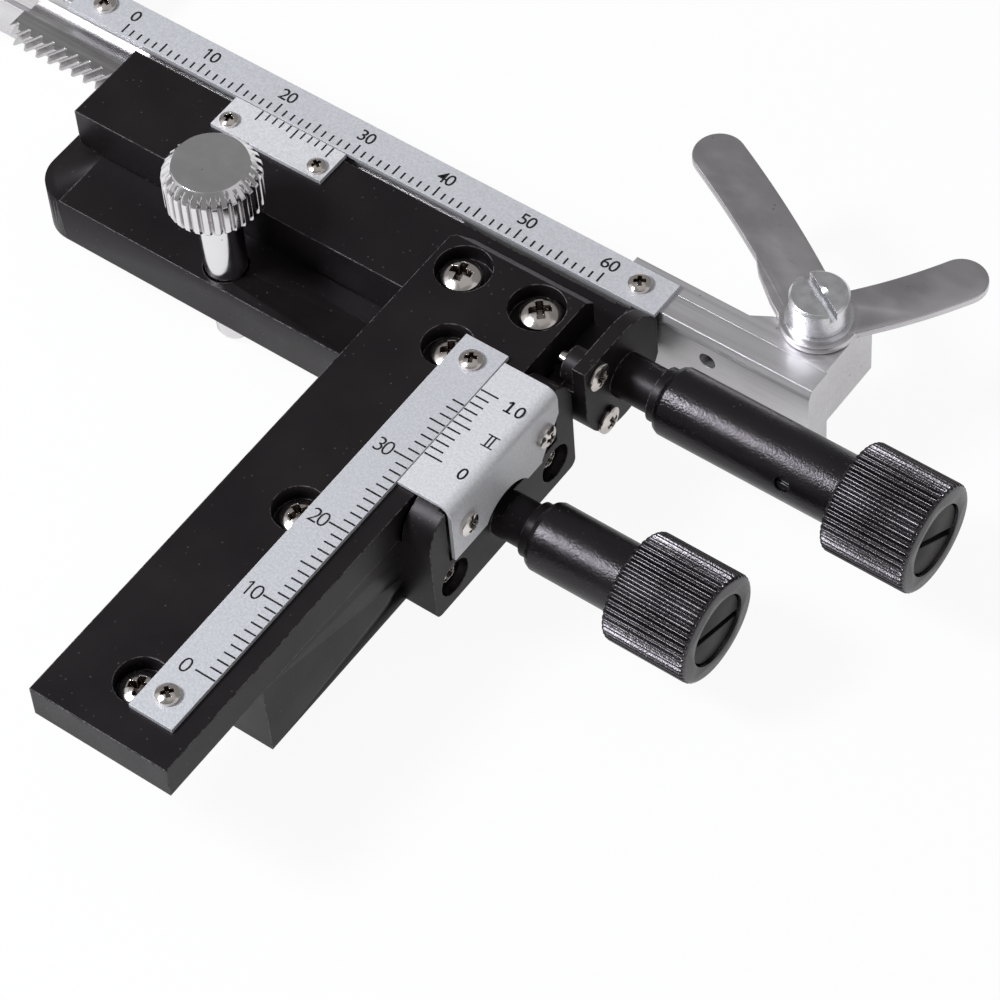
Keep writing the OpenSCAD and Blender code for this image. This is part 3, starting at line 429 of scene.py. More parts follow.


# Bare metal: tone varies in clouds, with rolled, milled or turned lines and painted shade in its hollows
metalTones = {"cloud": (0.38, 0.75), "line": 1.15, "grainSize": 5200.0,
              "speck": (0.12, 0.11, 0.11, 1), "speckSize": 1800.0, "speckShare": 0.5,
              "edgeColour": (0.92, 0.92, 0.94, 1), "rubbedReach": 0.18, "edgeBreaks": 700.0, "edgeStrength": 0.7,
              "dirt": (0.07, 0.045, 0.03, 1), "streak": (0.3, 0.7), "smoother": 0.06, "rougher": 0.08,
              "bumpHigh": 0.01}
metalDefaults = {"metallic": 1.0, "specks": 0.02, "turn": (0, 0, 0), "round": 0.08, "wear": 0.5,
                 "hollow": 0.5, "dirt": 0.0, "grain": 0.1}


def bareMetal(name, look):
    tones = metalTones
    look = {**metalDefaults, **look}
    material, tree, shader = newMaterial(name, metallic=look["metallic"])
    fine = placeGroup(tree, "grain", Grain_Size=tones["grainSize"], Speck_Size=tones["speckSize"],
                      Speck_Share=look["specks"])
    streak = placeGroup(tree, "streaks", Stretch=look["stretch"], Turn=look["turn"])
    corner = placeGroup(tree, "corners", Round=look["round"] * mm, Reach=tones["rubbedReach"] * mm,
                        Break_Up=tones["edgeBreaks"], Share=look["wear"])
    hollow = placeGroup(tree, "hollows", Depth=look["hollow"] * mm)
    colour = look["colour"]
    toned = blendColour(tree, ramp(tree, fine["Cloud"], *tones["cloud"]), shade(colour, 1.0),
                        shade(colour, *look["stain"]))
    lined = blendColour(tree, times(tree, streak["Lines"], look["lines"]), toned,
                        shade(colour, tones["line"]))
    speckled = blendColour(tree, times(tree, fine["Specks"], tones["speckShare"]), lined, tones["speck"])
    edgeColour = blendColour(tree, times(tree, corner["Edge Line"], tones["edgeStrength"]), speckled,
                         tones["edgeColour"])
    # Painted shade: hollows darkened towards brown where little light reaches
    shadedInHollows = blendColour(tree, times(tree, hollow["Mask"], look["dirt"]), edgeColour, tones["dirt"])
    tree.links.new(shadedInHollows, shader.inputs["Base Color"])
    rough = look["roughness"]
    uneven = ramp(tree, streak["Tone"], *tones["streak"], rough - tones["smoother"],
                  rough + tones["rougher"])
    tree.links.new(uneven, shader.inputs["Roughness"])
    height = maths(tree, "ADD", times(tree, streak["Tone"], look["lines"]), fine["Height"])
    addBump(tree, shader, height, look["grain"], tones["bumpHigh"], corner["Normal"])
    return material


# Scale plate: pale, even grey with a blasted grain that glitters a little
plateTones = {"metallic": 0.3, "specular": 0.35, "grainSize": 7000.0, "mottleSize": 4200.0,
              "mottleDetail": 2.0, "mottle": (0.35, 0.65), "dark": 0.92, "pale": 1.06,
              "glitter": (0.9, 0.92, 0.95, 1), "glitterSize": 5200.0, "glitterSpread": 0.25,
              "glitterShare": 0.22, "round": 0.05, "edgeColour": (0.93, 0.94, 0.96, 1), "rubbedReach": 0.08,
              "edgeBreaks": 900.0, "wear": 0.7, "edgeStrength": 0.6, "roughRange": (0.3, 0.7),
              "smooth": 0.42, "rough": 0.55, "bump": 0.12, "bumpHigh": 0.01}


def scalePlate(name, colour):
    tones = plateTones
    material, tree, shader = newMaterial(name, metallic=tones["metallic"], specular=tones["specular"])
    fine = placeGroup(tree, "grain", Grain_Size=tones["grainSize"], Speck_Size=tones["glitterSize"],
                      Speck_Share=tones["glitterSpread"])
    corner = placeGroup(tree, "corners", Round=tones["round"] * mm, Reach=tones["rubbedReach"] * mm,
                        Break_Up=tones["edgeBreaks"], Share=tones["wear"])
    mottle = addNode(tree, "ShaderNodeTexNoise", Vector=objectPlace(tree), Scale=tones["mottleSize"],
                     Detail=tones["mottleDetail"])
    body = blendColour(tree, ramp(tree, mottle.outputs[0], *tones["mottle"]), shade(colour, tones["dark"]),
                       shade(colour, tones["pale"]))
    glitter = blendColour(tree, times(tree, fine["Specks"], tones["glitterShare"]), body, tones["glitter"])
    edged = blendColour(tree, times(tree, corner["Edge Line"], tones["edgeStrength"]), glitter, tones["edgeColour"])
    tree.links.new(edged, shader.inputs["Base Color"])
    uneven = ramp(tree, mottle.outputs[0], *tones["roughRange"], tones["smooth"], tones["rough"])
    tree.links.new(uneven, shader.inputs["Roughness"])
    addBump(tree, shader, fine["Height"], tones["bump"], tones["bumpHigh"], corner["Normal"])
    return material


inkTones = {"specular": 0.25, "roughness": 0.6, "grainSize": 9000.0, "fleckSize": 5200.0, "flecks": 0.1,
            "dark": (0.013, 0.013, 0.015, 1), "fleck": (0.05, 0.05, 0.055, 1), "bump": 0.1, "bumpHigh": 0.01}


def scaleInk():
    tones = inkTones
    material, tree, shader = newMaterial("scaleInk", specular=tones["specular"],
                                         roughness=tones["roughness"])
    fine = placeGroup(tree, "grain", Grain_Size=tones["grainSize"], Speck_Size=tones["fleckSize"],
                      Speck_Share=tones["flecks"])
    tone = blendColour(tree, fine["Specks"], tones["dark"], tones["fleck"])
    tree.links.new(tone, shader.inputs["Base Color"])
    surface = addNode(tree, "ShaderNodeNewGeometry")
    addBump(tree, shader, fine["Height"], tones["bump"], tones["bumpHigh"], surface.outputs["Normal"])
    return material


print("materials")
# On the enamels the pale corner lines are partly worn paint and partly painted edge highlight
enamel = blackEnamel("blackEnamel", {
    "colour": (0.0088, 0.0072, 0.0078), "roughness": 0.40, "specular": 0.28, "specks": 0.05, "wear": 0.56,
    "round": 0.22, "reach": 0.2, "grainSize": 3600.0, "bump": 0.35, "bumpHigh": 0.03})
sleeveEnamel = blackEnamel("sleeveEnamel", {
    "colour": (0.0045, 0.0038, 0.0045), "roughness": 0.24, "specular": 0.5, "specks": 0.04, "wear": 0.45,
    "round": 0.1, "reach": 0.15, "grainSize": 5200.0, "bump": 0.7, "bumpHigh": 0.06})
knobEnamel = blackEnamel("knobEnamel", {
    "colour": (0.006, 0.005, 0.006), "roughness": 0.23, "specular": 0.75, "specks": 0.02, "wear": 0.45,
    "round": 0.05, "reach": 0.08, "grainSize": 5200.0, "bump": 0.6, "bumpHigh": 0.04})
discEnamel = blackEnamel("discEnamel", {
    "colour": (0.011, 0.010, 0.0105), "roughness": 0.46, "specular": 0.3, "specks": 0.02, "wear": 0.4,
    "round": 0.05, "reach": 0.08, "grainSize": 3200.0, "bump": 0.25, "bumpHigh": 0.02})
plateMetal = scalePlate("scalePlate", (0.66, 0.665, 0.70))
vernierMetal = scalePlate("vernierPlate", (0.80, 0.80, 0.83))
barMetal = bareMetal("milledBar", {
    "colour": (0.72, 0.71, 0.72), "roughness": 0.46, "lines": 0.45, "stretch": (25.0, 2600.0, 2600.0),
    "stain": (0.86, 0.84, 0.86), "wear": 0.55, "specks": 0.03, "round": 0.1})
clipMetal = bareMetal("rolledClip", {
    "colour": (0.68, 0.66, 0.675), "roughness": 0.30, "lines": 0.12, "stretch": (300.0, 500.0, 800.0),
    "stain": (0.82, 0.80, 0.84), "round": 0.1})
# The screws get strong painted shade in their cross recesses, and the clamp screw half as much in its hollows
screwMetal = bareMetal("nickelScrew", {
    "colour": (0.74, 0.70, 0.67), "roughness": 0.16, "lines": 0.15, "stretch": (900.0, 900.0, 900.0),
    "stain": (0.86, 0.82, 0.80), "specks": 0.0, "round": 0.04, "dirt": 0.93, "hollow": 0.9, "grain": 0.12})
chromeMetal = bareMetal("brightNickel", {
    "colour": (0.80, 0.79, 0.80), "roughness": 0.14, "lines": 0.15, "stretch": (700.0, 700.0, 700.0),
    "stain": (0.88, 0.86, 0.87), "specks": 0.015, "round": 0.05, "dirt": 0.5})
pivotMetal = bareMetal("turnedPivot", {
    "colour": (0.84, 0.84, 0.86), "roughness": 0.3, "lines": 0.3, "stretch": (900.0, 900.0, 3500.0),
    "stain": (0.9, 0.9, 0.92), "specks": 0.01, "round": 0.1, "wear": 0.45})
brassMetal = bareMetal("machinedBrass", {
    "colour": (0.75, 0.55, 0.25), "roughness": 0.28, "lines": 0.4, "stretch": (60.0, 1800.0, 1800.0),
    "stain": (0.7, 0.68, 0.7)})
gearMetal = bareMetal("cutSteel", {
    "colour": (0.56, 0.55, 0.55), "roughness": 0.3, "lines": 0.4, "stretch": (60.0, 2200.0, 2200.0),
    "stain": (0.7, 0.68, 0.7)})
springMetal = bareMetal("springWire", {
    "colour": (0.34, 0.34, 0.36), "roughness": 0.3, "lines": 0.3, "stretch": (1200.0, 1200.0, 200.0),
    "stain": (0.7, 0.68, 0.7)})
darkSteel = bareMetal("blackSteel", {
    "colour": (0.06, 0.06, 0.065), "roughness": 0.35, "lines": 0.4, "stretch": (500.0, 900.0, 900.0),
    "stain": (0.7, 0.68, 0.7), "metallic": 0.8})
ink = scaleInk()

# CAD nodes that stay as they are and get a material
print("coats")
coatNode(["y_bearing_bracket", "y_plate", "y_rail", "x_beam", "x_bearing_flange"], enamel)
coatNode(["y_sleeve", "x_sleeve"], sleeveEnamel)
coatNode(["slide_bar", "end_block"], barMetal)
coatNode(["y_ruler", "x_ruler"], plateMetal)
coatNode(["x_vernier_plate", "y_vernier_plate"], vernierMetal)
coatNode(["fixed_finger"], clipMetal)
coatNode(["clip_washer", "pivot_screw"], pivotMetal)
coatNode(["y_gib", "y_friction_washer", "x_friction_washer", "x_end_bush"], brassMetal)
coatNode(["y_pinion_shaft", "x_worm_shaft", "y_rack", "x_rack_rail"], gearMetal)
coatNode(["y_gib_screws", "x_set_screw", "end_block_screws"], darkSteel)
coatNode(["torsion_spring"], springMetal)

# Screws: lengths are shares of the head's radius or height; overlap is in millimetres
screwShape = {"rim": 0.52, "crown": 2.1, "rings": (0.07, 0.09, 0.11, 0.12, 0.14, 0.16),
              "armLong": 1.24, "armWide": 0.40, "taper": 0.62, "floor": 0.12, "cutHigh": 1.2, "edge": 0.03,
              "headAround": 64, "shankAround": 24, "overlap": 0.02, "smooth": 38}


# Pan head with a tapered cross recess, standing on z = 0 with its shank below
def makeScrew(name, headRadius, headHigh, shankRadius, shankLong):
    shape = screwShape
    head = settle(addCylinder(headRadius, headHigh, headHigh / 2, shape["headAround"]))
    selectCap(head, shape["headAround"])
    for share in shape["rings"]:
        bpy.ops.mesh.inset(thickness=headRadius * share * mm)
    bpy.ops.object.mode_set(mode="OBJECT")
    for vertex in head.data.vertices:
        if vertex.co.z > headHigh * mm / 2:
            out = min(1.0, math.hypot(vertex.co.x, vertex.co.y) / (headRadius * mm))
            vertex.co.z = headHigh * mm * (shape["rim"] + (1 - shape["rim"]) * (1 - out ** shape["crown"]))
    arm = (headRadius * shape["armLong"], headRadius * shape["armWide"], headHigh * shape["cutHigh"])
    for turn in (0, 90):
        cutter = addBox(arm, (0, 0, headHigh * (shape["floor"] + shape["cutHigh"] / 2)), turn)
        for vertex in cutter.data.vertices:
            if vertex.co.z < headHigh * mm / 2:
                vertex.co.x *= shape["taper"]
                vertex.co.y *= shape["taper"]
        cutWith(head, cutter)
    roundEdges(head, headRadius * shape["edge"])
    shank = addCylinder(shankRadius, shankLong, shape["overlap"] - shankLong / 2, shape["shankAround"])
    screw = joined(name, [head, shank])
    smoothByAngle(screw, shape["smooth"])
    return screw


# Seats of a row of screws, read from the CAD node: heads stand at the far end of the facing axis,
# and a row that falls has its last screw at the bottom
def screwRow(node, headRadius, headHigh, facing, count, falls):
    low, high = cornersOf(node)
    axis = {"up": 2, "right": 0, "back": 1}[facing]
    first, last = Vector(low), Vector(high)
    for other in range(3):
        inset = min(headRadius, (high[other] - low[other]) / 2)
        first[other] = low[other] + inset
        last[other] = high[other] - inset
    if falls:
        first[2], last[2] = last[2], first[2]
    first[axis] = last[axis] = high[axis] - headHigh
    seats = [first.lerp(last, k / (count - 1)) for k in range(count)]
    return seats, high[axis] - headHigh - low[axis]


# head is a radius and a height, shank a radius, turns the angles of the crosses
print("screws")
screwSets = [
    {"node": "rail_screws", "body": "y_stage", "facing": "up", "head": (2.05, 1.4), "shank": 1.1,
     "turns": (20, 62, 35)},
    {"node": "beam_screws", "body": "y_stage", "facing": "up", "head": (2.15, 1.6), "shank": 1.3,
     "turns": (12, 42)},
    {"node": "y_ruler_screws", "body": "y_stage", "facing": "up", "head": (1.2, 0.8), "shank": 0.6,
     "turns": (50, 28)},
    {"node": "y_vernier_screws", "body": "base", "facing": "right", "head": (1.25, 0.9), "shank": 0.6,
     "turns": (25, 70)},
    {"node": "y_bracket_screws", "body": "base", "facing": "right", "head": (1.8, 1.3), "shank": 1.0,
     "turns": (40, 12)},
    {"node": "x_flange_screws", "body": "y_stage", "facing": "right", "head": (1.5, 0.8), "shank": 0.8,
     "turns": (55, 15), "falls": True},
    {"node": "x_ruler_screws", "body": "x_slide", "facing": "up", "head": (1.2, 0.8), "shank": 0.6,
     "turns": (75, 33)},
    {"node": "x_vernier_screws", "body": "y_stage", "facing": "up", "head": (1.0, 0.7), "shank": 0.6,
     "turns": (10, 64)},
    {"node": "rack_screws", "body": "x_slide", "facing": "back", "head": (1.5, 1.0), "shank": 0.8,
     "turns": (10, 42, 80)},
    {"node": "finger_screws", "body": "x_slide", "facing": "back", "head": (1.4, 1.0), "shank": 0.8,
     "turns": (30, 66)},
]
for screwSet in screwSets:
    node, facing, turns = screwSet["node"], screwSet["facing"], screwSet["turns"]
    headRadius, headHigh = screwSet["head"]
    seats, shankLong = screwRow(node, headRadius, headHigh, facing, len(turns), screwSet.get("falls", False))
    template = makeScrew("screwTemplate", headRadius, headHigh, screwSet["shank"], shankLong)
    title = "".join(word.capitalize() for word in node.split("_"))
    copies = [faceAlong(copyPiece(template, "one" + title), seat, facing, turn)
              for seat, turn in zip(seats, turns)]
    bpy.data.objects.remove(template)
    piece = joined("finished" + title, copies)
    smoothByAngle(piece, screwShape["smooth"])
    finishPiece(piece, screwSet["body"], screwMetal, [node])

# Knurled heads: corners are those of one flute, and a groove takes a share of the pitch
knurl = {"corners": 8, "steep": 1.7, "rise": 0.1, "digits": 7}


# Flutes pulled along Z in steps of (height, share of radius, share of depth)
def makeKnurled(name, radius, look, steps):
    around = look["flutes"] * knurl["corners"]
    piece = addDisc(radius, around)
    piece.name = name
    for _ in steps[1:]:
        liftCap(piece, around, knurl["rise"] * mm)
    levels = sorted({round(vertex.co.z, knurl["digits"]) for vertex in piece.data.vertices})
    for vertex in piece.data.vertices:
        high, share, cut = steps[levels.index(round(vertex.co.z, knurl["digits"]))]
        angle = math.atan2(vertex.co.y, vertex.co.x)
        phase = (angle * look["flutes"] / (2 * math.pi)) % 1.0
        dip = min(1.0, knurl["steep"] * max(0.0, 1 - abs(phase - 0.5) * 2 / look["groove"]))
        r = (radius * share - look["depth"] * cut * dip) * mm
        vertex.co = (r * math.cos(angle), r * math.sin(angle), high * mm)
    return piece


# Knobs: left steps count from the left end, right steps from the right end
print("knobs")
knob = {"flutes": 46, "depth": 0.42, "groove": 0.72, "around": 96,
        "well": 3.86, "wellDeep": 1.3, "wellEdge": 0.06, "wellAngle": 50, "shellSmooth": 34,
        "disc": 3.7, "discThick": 1.3, "discSunk": 0.3, "discEdge": 0.1, "discSmooth": 35,
        "slotWide": 0.75, "slotLong": 9, "slotDeep": 0.6, "slotTurns": {"y": -20, "x": -35},
        "shank": 0.8, "shankSunk": 1.0, "shankAround": 24,
        "left": [(0, 0.93, 0.5), (0.1, 0.965, 0.8), (0.25, 0.99, 1), (0.45, 1.0, 1)],
        "right": [(0.6, 1.0, 1), (0.42, 0.998, 0.85), (0.28, 0.99, 0.4), (0.16, 0.97, 0.05),
                  (0.06, 0.945, 0), (0, 0.91, 0)]}


def makeKnob(prefix, body, slotTurn):
    low, high = cornersOf(prefix + "_knob")
    length = high[0] - low[0]
    place = (low[0], (low[1] + high[1]) / 2, (low[2] + high[2]) / 2)
    steps = knob["left"] + [(length / 2, 1.0, 1)]
    steps += [(length - back, share, cut) for back, share, cut in knob["right"]]
    shell = makeKnurled(prefix + "KnobFinished", (high[2] - low[2]) / 2, knob, steps)
    cutWith(shell, addCylinder(knob["well"], 2 * knob["wellDeep"], length, knob["around"]))
    roundEdges(shell, knob["wellEdge"], degrees=knob["wellAngle"])
    faceAlong(shell, place, "right")
    smoothByAngle(shell, knob["shellSmooth"])
    finishPiece(shell, body, knobEnamel, [prefix + "_knob"])

    face = length - knob["discSunk"]
    disc = addCylinder(knob["disc"], knob["discThick"], face - knob["discThick"] / 2, knob["around"])
    cutWith(disc, addBox((knob["slotWide"], knob["slotLong"], 2 * knob["slotDeep"]), (0, 0, face)))
    roundEdges(disc, knob["discEdge"])
    shankLow = cornersOf(prefix + "_knob_screw")[0][0] - low[0]
    shankHigh = face - knob["shankSunk"]
    shank = addCylinder(knob["shank"], shankHigh - shankLow, (shankHigh + shankLow) / 2,
                        knob["shankAround"])
    disc = joined(prefix + "KnobScrewFinished", [disc, shank])
    faceAlong(disc, place, "right", slotTurn)
    smoothByAngle(disc, knob["discSmooth"])
    finishPiece(disc, body, discEnamel, [prefix + "_knob_screw"])


for prefix, slotTurn in knob["slotTurns"].items():
    makeKnob(prefix, prefix + "_drive", slotTurn)

# Clamp screw: knurled head, plain shank with a neck for the ring, and a domed end
print("clamp screw")
clamp = {"flutes": 30, "depth": 0.42, "groove": 0.5, "headHigh": 5.5, "smooth": 30, "around": 48,
         "head": [(0, 0.88, 0), (0.12, 0.93, 0.3), (0.3, 0.97, 0.8), (0.5, 0.99, 1), (0.8, 1.0, 1),
                  (3.9, 1.0, 1), (4.15, 0.99, 1), (4.3, 0.975, 0.9), (4.75, 0.9, 0.5), (5.2, 0.82, 0.06),
                  (5.42, 0.785, 0), (5.5, 0.765, 0)],
         "tip": 0.4, "dome": [(0.08, 0.95), (0.3, 1.4), (0.7, 1.75)], "domeHigh": 1.3,
         "thread": 2.0, "neck": 1.7, "ringFrom": 0.2, "ringTo": 1.1, "chamfer": 0.05,
         "shank": 2.25, "middle": 6, "overlap": 0.1, "rise": 50}
clampLow, clampHigh = cornersOf("thumbscrew")
headAt = clampHigh[2] - clamp["headHigh"]
clampHead = makeKnurled("clampScrewFinished", clampHigh[0], clamp, clamp["head"])
faceAlong(clampHead, (0, 0, headAt), "up")
shank = addDisc(clamp["tip"], clamp["around"], clampLow[2])
profile = [(clampLow[2] + up, r) for up, r in clamp["dome"]]
profile += [(clampLow[2] + clamp["domeHigh"], clamp["thread"]),
            (clamp["ringFrom"] - clamp["chamfer"], clamp["thread"]),
            (clamp["ringFrom"], clamp["neck"]), (clamp["ringTo"], clamp["neck"]),
            (clamp["ringTo"] + clamp["chamfer"], clamp["shank"]),
            (clamp["middle"], clamp["shank"]), (headAt + clamp["overlap"], clamp["shank"])]
for z, r in profile:
    liftCap(shank, clamp["around"], clamp["rise"] * mm)
    top = max(vertex.co.z for vertex in shank.data.vertices)
    for vertex in shank.data.vertices:
        if vertex.co.z > top - sameHeight:
            angle = math.atan2(vertex.co.y, vertex.co.x)
            vertex.co = metres((r * math.cos(angle), r * math.sin(angle), z))
clampScrew = joined("clampScrewFinished", [clampHead, shank])
facesOut(clampScrew)
smoothByAngle(clampScrew, clamp["smooth"])
finishPiece(clampScrew, "clamp_screw", chromeMetal, ["thumbscrew"])

# Base: the CAD casting with its clamp hole closed round the screw, and a small ring in the screw's neck
print("base")
base = {"front": -2.9, "hole": 2.4, "wall": 3.9, "high": 4.2, "lip": 0.1, "clear": 1, "step": 5,
        "weld": 0.001, "smooth": 30,
        "ring": 2.3, "ringHole": 1.75, "ringFrom": 0.3, "ringTo": 1.0, "ringStep": 6, "ringEdge": 0.06,
        "ringSmooth": 35}
centre = (0, 0)
casting = copyPiece(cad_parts["base_frame"], "baseFinished")
pick(casting)
bpy.ops.object.mode_set(mode="EDIT")
bpy.ops.mesh.select_all(action="SELECT")
bpy.ops.mesh.remove_doubles(threshold=base["weld"] * mm)
bpy.ops.object.mode_set(mode="OBJECT")
wall = [(x, max(y, base["front"])) for x, y in roundPoints(centre, base["wall"], base["step"])]
fuseWith(casting, makePrism(wall, 0, base["high"]))
hole = roundPoints(centre, base["hole"], base["step"])
cutWith(casting, makePrism(hole, -base["clear"], base["high"] + base["lip"]))
casting = joined("baseFinished", [casting])
smoothByAngle(casting, base["smooth"])
finishPiece(casting, "base", enamel, ["base_frame"])
ring = makePrism(roundPoints(centre, base["ring"], base["ringStep"]), base["ringFrom"], base["ringTo"])
ringHole = roundPoints(centre, base["ringHole"], base["ringStep"])
cutWith(ring, makePrism(ringHole, base["ringFrom"] - base["clear"], base["ringTo"] + base["clear"]))
roundEdges(ring, base["ringEdge"])
ring = joined("retainingRingFinished", [ring])
smoothByAngle(ring, base["ringSmooth"])
finishPiece(ring, "clamp_screw", springMetal, ["retaining_ring"])

# Clip: one stamping with a curved arm, a finger lever, a flared root and a toe turned down;
# its flats lie a layer apart so that no two faces share a plane
print("clip")
clip = {"thick": 0.9, "hub": 3.9, "hubStep": 5, "hole": 1.65, "holeStep": 10, "clear": 1, "layer": 0.006,
        "edge": 0.14, "edgeSteps": 3, "toeWide": 2.6, "toeEdge": 0.1, "edgeAngle": 60,
        "along": 20, "capStep": 10, "smooth": 35,
        "root": [(-2.4, -2.6), (-5.28, -0.75), (-8.1, 1.5), (-10.15, 3.8), (-9.95, 4), (-5.5, 0.9),
                 (-2.2, -1.4)],
        "arm": {"heading": 144.5, "bend": 150, "long": 26, "wide": 5.5},
        "lever": {"heading": 46, "bend": 60, "long": 17.3, "wide": 5.3}}
clipLow, clipHigh = cornersOf("clip_lever")
pivotLow, pivotHigh = cornersOf("pivot_screw")
pivot = ((pivotLow[0] + pivotHigh[0]) / 2, (pivotLow[1] + pivotHigh[1]) / 2)
sheetLow, sheetHigh = clipHigh[2] - clip["thick"], clipHigh[2]


# Point on a strip's bend, this far turned along it and this far out from its middle line
def onBend(strip, turn, out):
    heading = math.radians(strip["heading"])
    angle = heading - math.pi / 2 + turn
    r = strip["bend"] + out
    return (pivot[0] - strip["bend"] * math.sin(heading) + r * math.cos(angle),
            pivot[1] + strip["bend"] * math.cos(heading) + r * math.sin(angle))


# Outline of a strip that leaves the pivot along its heading and ends round
def stripOutline(strip):
    half, bend = strip["wide"] / 2, strip["bend"]
    sweep = (strip["long"] - half) / bend
    turns = [sweep * k / clip["along"] for k in range(clip["along"] + 1)]
    outer = [onBend(strip, turn, half) for turn in turns]
    capTurns = [math.radians(angle) for angle in range(clip["capStep"], 180, clip["capStep"])]
    cap = [onBend(strip, sweep + half * math.sin(turn) / bend, half * math.cos(turn)) for turn in capTurns]
    inner = [onBend(strip, turn, -half) for turn in reversed(turns)]
    return outer + cap + inner


arm = clip["arm"]
armHalf = arm["wide"] / 2
toeIn = armHalf - clip["thick"]
toeFrom = (arm["long"] - armHalf - clip["toeWide"]) / arm["bend"]
toeTo = (arm["long"] - armHalf) / arm["bend"]
toe = [onBend(arm, toeFrom, armHalf), onBend(arm, toeTo, armHalf), onBend(arm, toeTo, toeIn),
       onBend(arm, toeFrom, toeIn)]
parts = [makePrism(toe, clipLow[2], sheetLow + clip["thick"] / 2)]
roundEdges(parts[0], clip["toeEdge"], degrees=clip["edgeAngle"])
flats = [roundPoints(pivot, clip["hub"], clip["hubStep"]),
         [(pivot[0] + x, pivot[1] + y) for x, y in clip["root"]],
         stripOutline(clip["lever"]), stripOutline(arm)]
hole = roundPoints(pivot, clip["hole"], clip["holeStep"])
for step, outline in enumerate(flats):
    bottomStep, topStep = clip["layer"] * (len(flats) - step), clip["layer"] * (len(flats) - 1 - step)
    part = makePrism(outline, sheetLow + bottomStep, sheetHigh - topStep)
    cutWith(part, makePrism(hole, sheetLow - clip["clear"], sheetHigh + clip["clear"]))
    roundEdges(part, clip["edge"], clip["edgeSteps"], clip["edgeAngle"])
    parts.append(part)
clipPiece = joined("clipFinished", parts)
smoothByAngle(clipPiece, clip["smooth"])
finishPiece(clipPiece, "clip", clipMetal, ["clip_lever"])

# Scales: lines and numbers printed on the plates
print("scales")
inkHigh = 0.012
inkEdge = 0.04  # bare strip between a line and the plate's edge


# A printed bar between two corners, turned about its middle
def makeBar(x0, x1, y0, y1, z, turn=0.0):
    return addBox((x1 - x0, y1 - y0, inkHigh), ((x0 + x1) / 2, (y0 + y1) / 2, z + inkHigh / 2), turn)


def makeDigit(digit, x, y, z, style):
    deselectAll()
    bpy.ops.object.text_add(location=(0, 0, 0))
    label = bpy.context.object
    label.data.body = digit
    label.data.size = 1.0
    label.data.extrude = 0.01
    label.data.offset = style["weight"]
    bpy.ops.object.convert(target="MESH")
    label = bpy.context.object
    xs = [vertex.co.x for vertex in label.data.vertices]
    ys = [vertex.co.y for vertex in label.data.vertices]
    tall = max(ys) - min(ys)
    middle = ((max(xs) + min(xs)) / 2, (max(ys) + min(ys)) / 2)
    for vertex in label.data.vertices:
        vertex.co.x = ((vertex.co.x - middle[0]) * style["high"] * style["wide"] / tall + x) * mm
        vertex.co.y = ((vertex.co.y - middle[1]) * style["high"] / tall + y) * mm
        vertex.co.z = (z + (inkHigh if vertex.co.z > 0 else 0.0)) * mm
    return label


oneShape = {"flag": 0.42, "flagPast": 0.02, "flagDrop": 0.28, "flagLine": 1.8, "flagTurn": 38,
            "foot": 0.42, "footLine": 1.5}


# Upright bar with a flag, and a foot where the numeral has serifs
def makeOne(x, y, z, style, foot=False):
    half, line = style["high"] / 2, style["stroke"] / 2
    flagY = y + half - oneShape["flagDrop"]
    parts = [makeBar(x - line, x + line, y - half, y + half, z),
             makeBar(x - oneShape["flag"], x + oneShape["flagPast"], flagY,
                     flagY + oneShape["flagLine"] * line, z, oneShape["flagTurn"])]
    if foot:
        parts.append(makeBar(x - oneShape["foot"], x + oneShape["foot"], y - half,
                             y - half + oneShape["footLine"] * line, z))
    return parts


# Digits of a number at their own places
def makeNumber(word, xs, y, z, style, foot=False):
    parts = []
    for digit, x in zip(word, xs):
        parts += makeOne(x, y, z, style, foot) if digit == "1" else [makeDigit(digit, x, y, z, style)]
    return parts


# Ruler lines across X, numbered to their left
plateRight = cornersOf("y_ruler")[1][0]
scaleTop = cornersOf("y_ruler")[1][2]
yScale = {"zero": -44.8, "count": 38, "long": 33.05, "middle": 33.55, "short": 34.02, "line": 0.19,
          "tens": 31.5, "units": 32.45, "alone": 32.02, "numberDrop": 0.05}
yStyle = {"high": 1.66, "wide": 1.0, "weight": -0.008, "stroke": 0.17}
marks = []
for n in range(yScale["count"] + 1):
    y = yScale["zero"] + n
    half = yScale["line"] / 2
    left = yScale["long"] if n % 10 == 0 else yScale["middle"] if n % 5 == 0 else yScale["short"]
    marks.append(makeBar(left, plateRight - inkEdge, y - half, y + half, scaleTop))
    if n % 10 == 0:
        places = [yScale["tens"], yScale["units"]] if n else [yScale["alone"]]
        marks += makeNumber(str(n), places, y - yScale["numberDrop"], scaleTop, yStyle)
finishPiece(joined("yScaleMarks", marks), "y_stage", ink)

# Vernier: ten parts of 0.9, numbered 0 and 10, with two slab strokes between them
vernierLeft = cornersOf("y_vernier_plate")[0][0]
yVernier = {"zero": -13.35, "step": 0.9, "parts": 10, "long": 37.62, "short": 37.12, "line": 0.19,
            "numbers": [("0", [40.09], -13.4), ("10", [39.17, 40.33], -4.58)],
            "strokes": (39.78, 40.22), "strokeHalf": 0.09, "strokeFrom": -9.6, "strokeTo": -8.25,
            "slabs": (-9.62, -8.22), "slabHalf": 0.07, "slabFrom": 39.35, "slabTo": 40.65}
vernierStyle = {"high": 1.42, "wide": 1.0, "weight": 0.006, "stroke": 0.25}
marks = []
for n in range(yVernier["parts"] + 1):
    y = yVernier["zero"] + n * yVernier["step"]
    half = yVernier["line"] / 2
    right = yVernier["long"] if n % 5 == 0 else yVernier["short"]
    marks.append(makeBar(vernierLeft + inkEdge, right, y - half, y + half, scaleTop))
for word, places, y in yVernier["numbers"]:
    marks += makeNumber(word, places, y, scaleTop, vernierStyle, foot=True)
for x in yVernier["strokes"]:
    marks.append(makeBar(x - yVernier["strokeHalf"], x + yVernier["strokeHalf"], yVernier["strokeFrom"],
                         yVernier["strokeTo"], scaleTop))
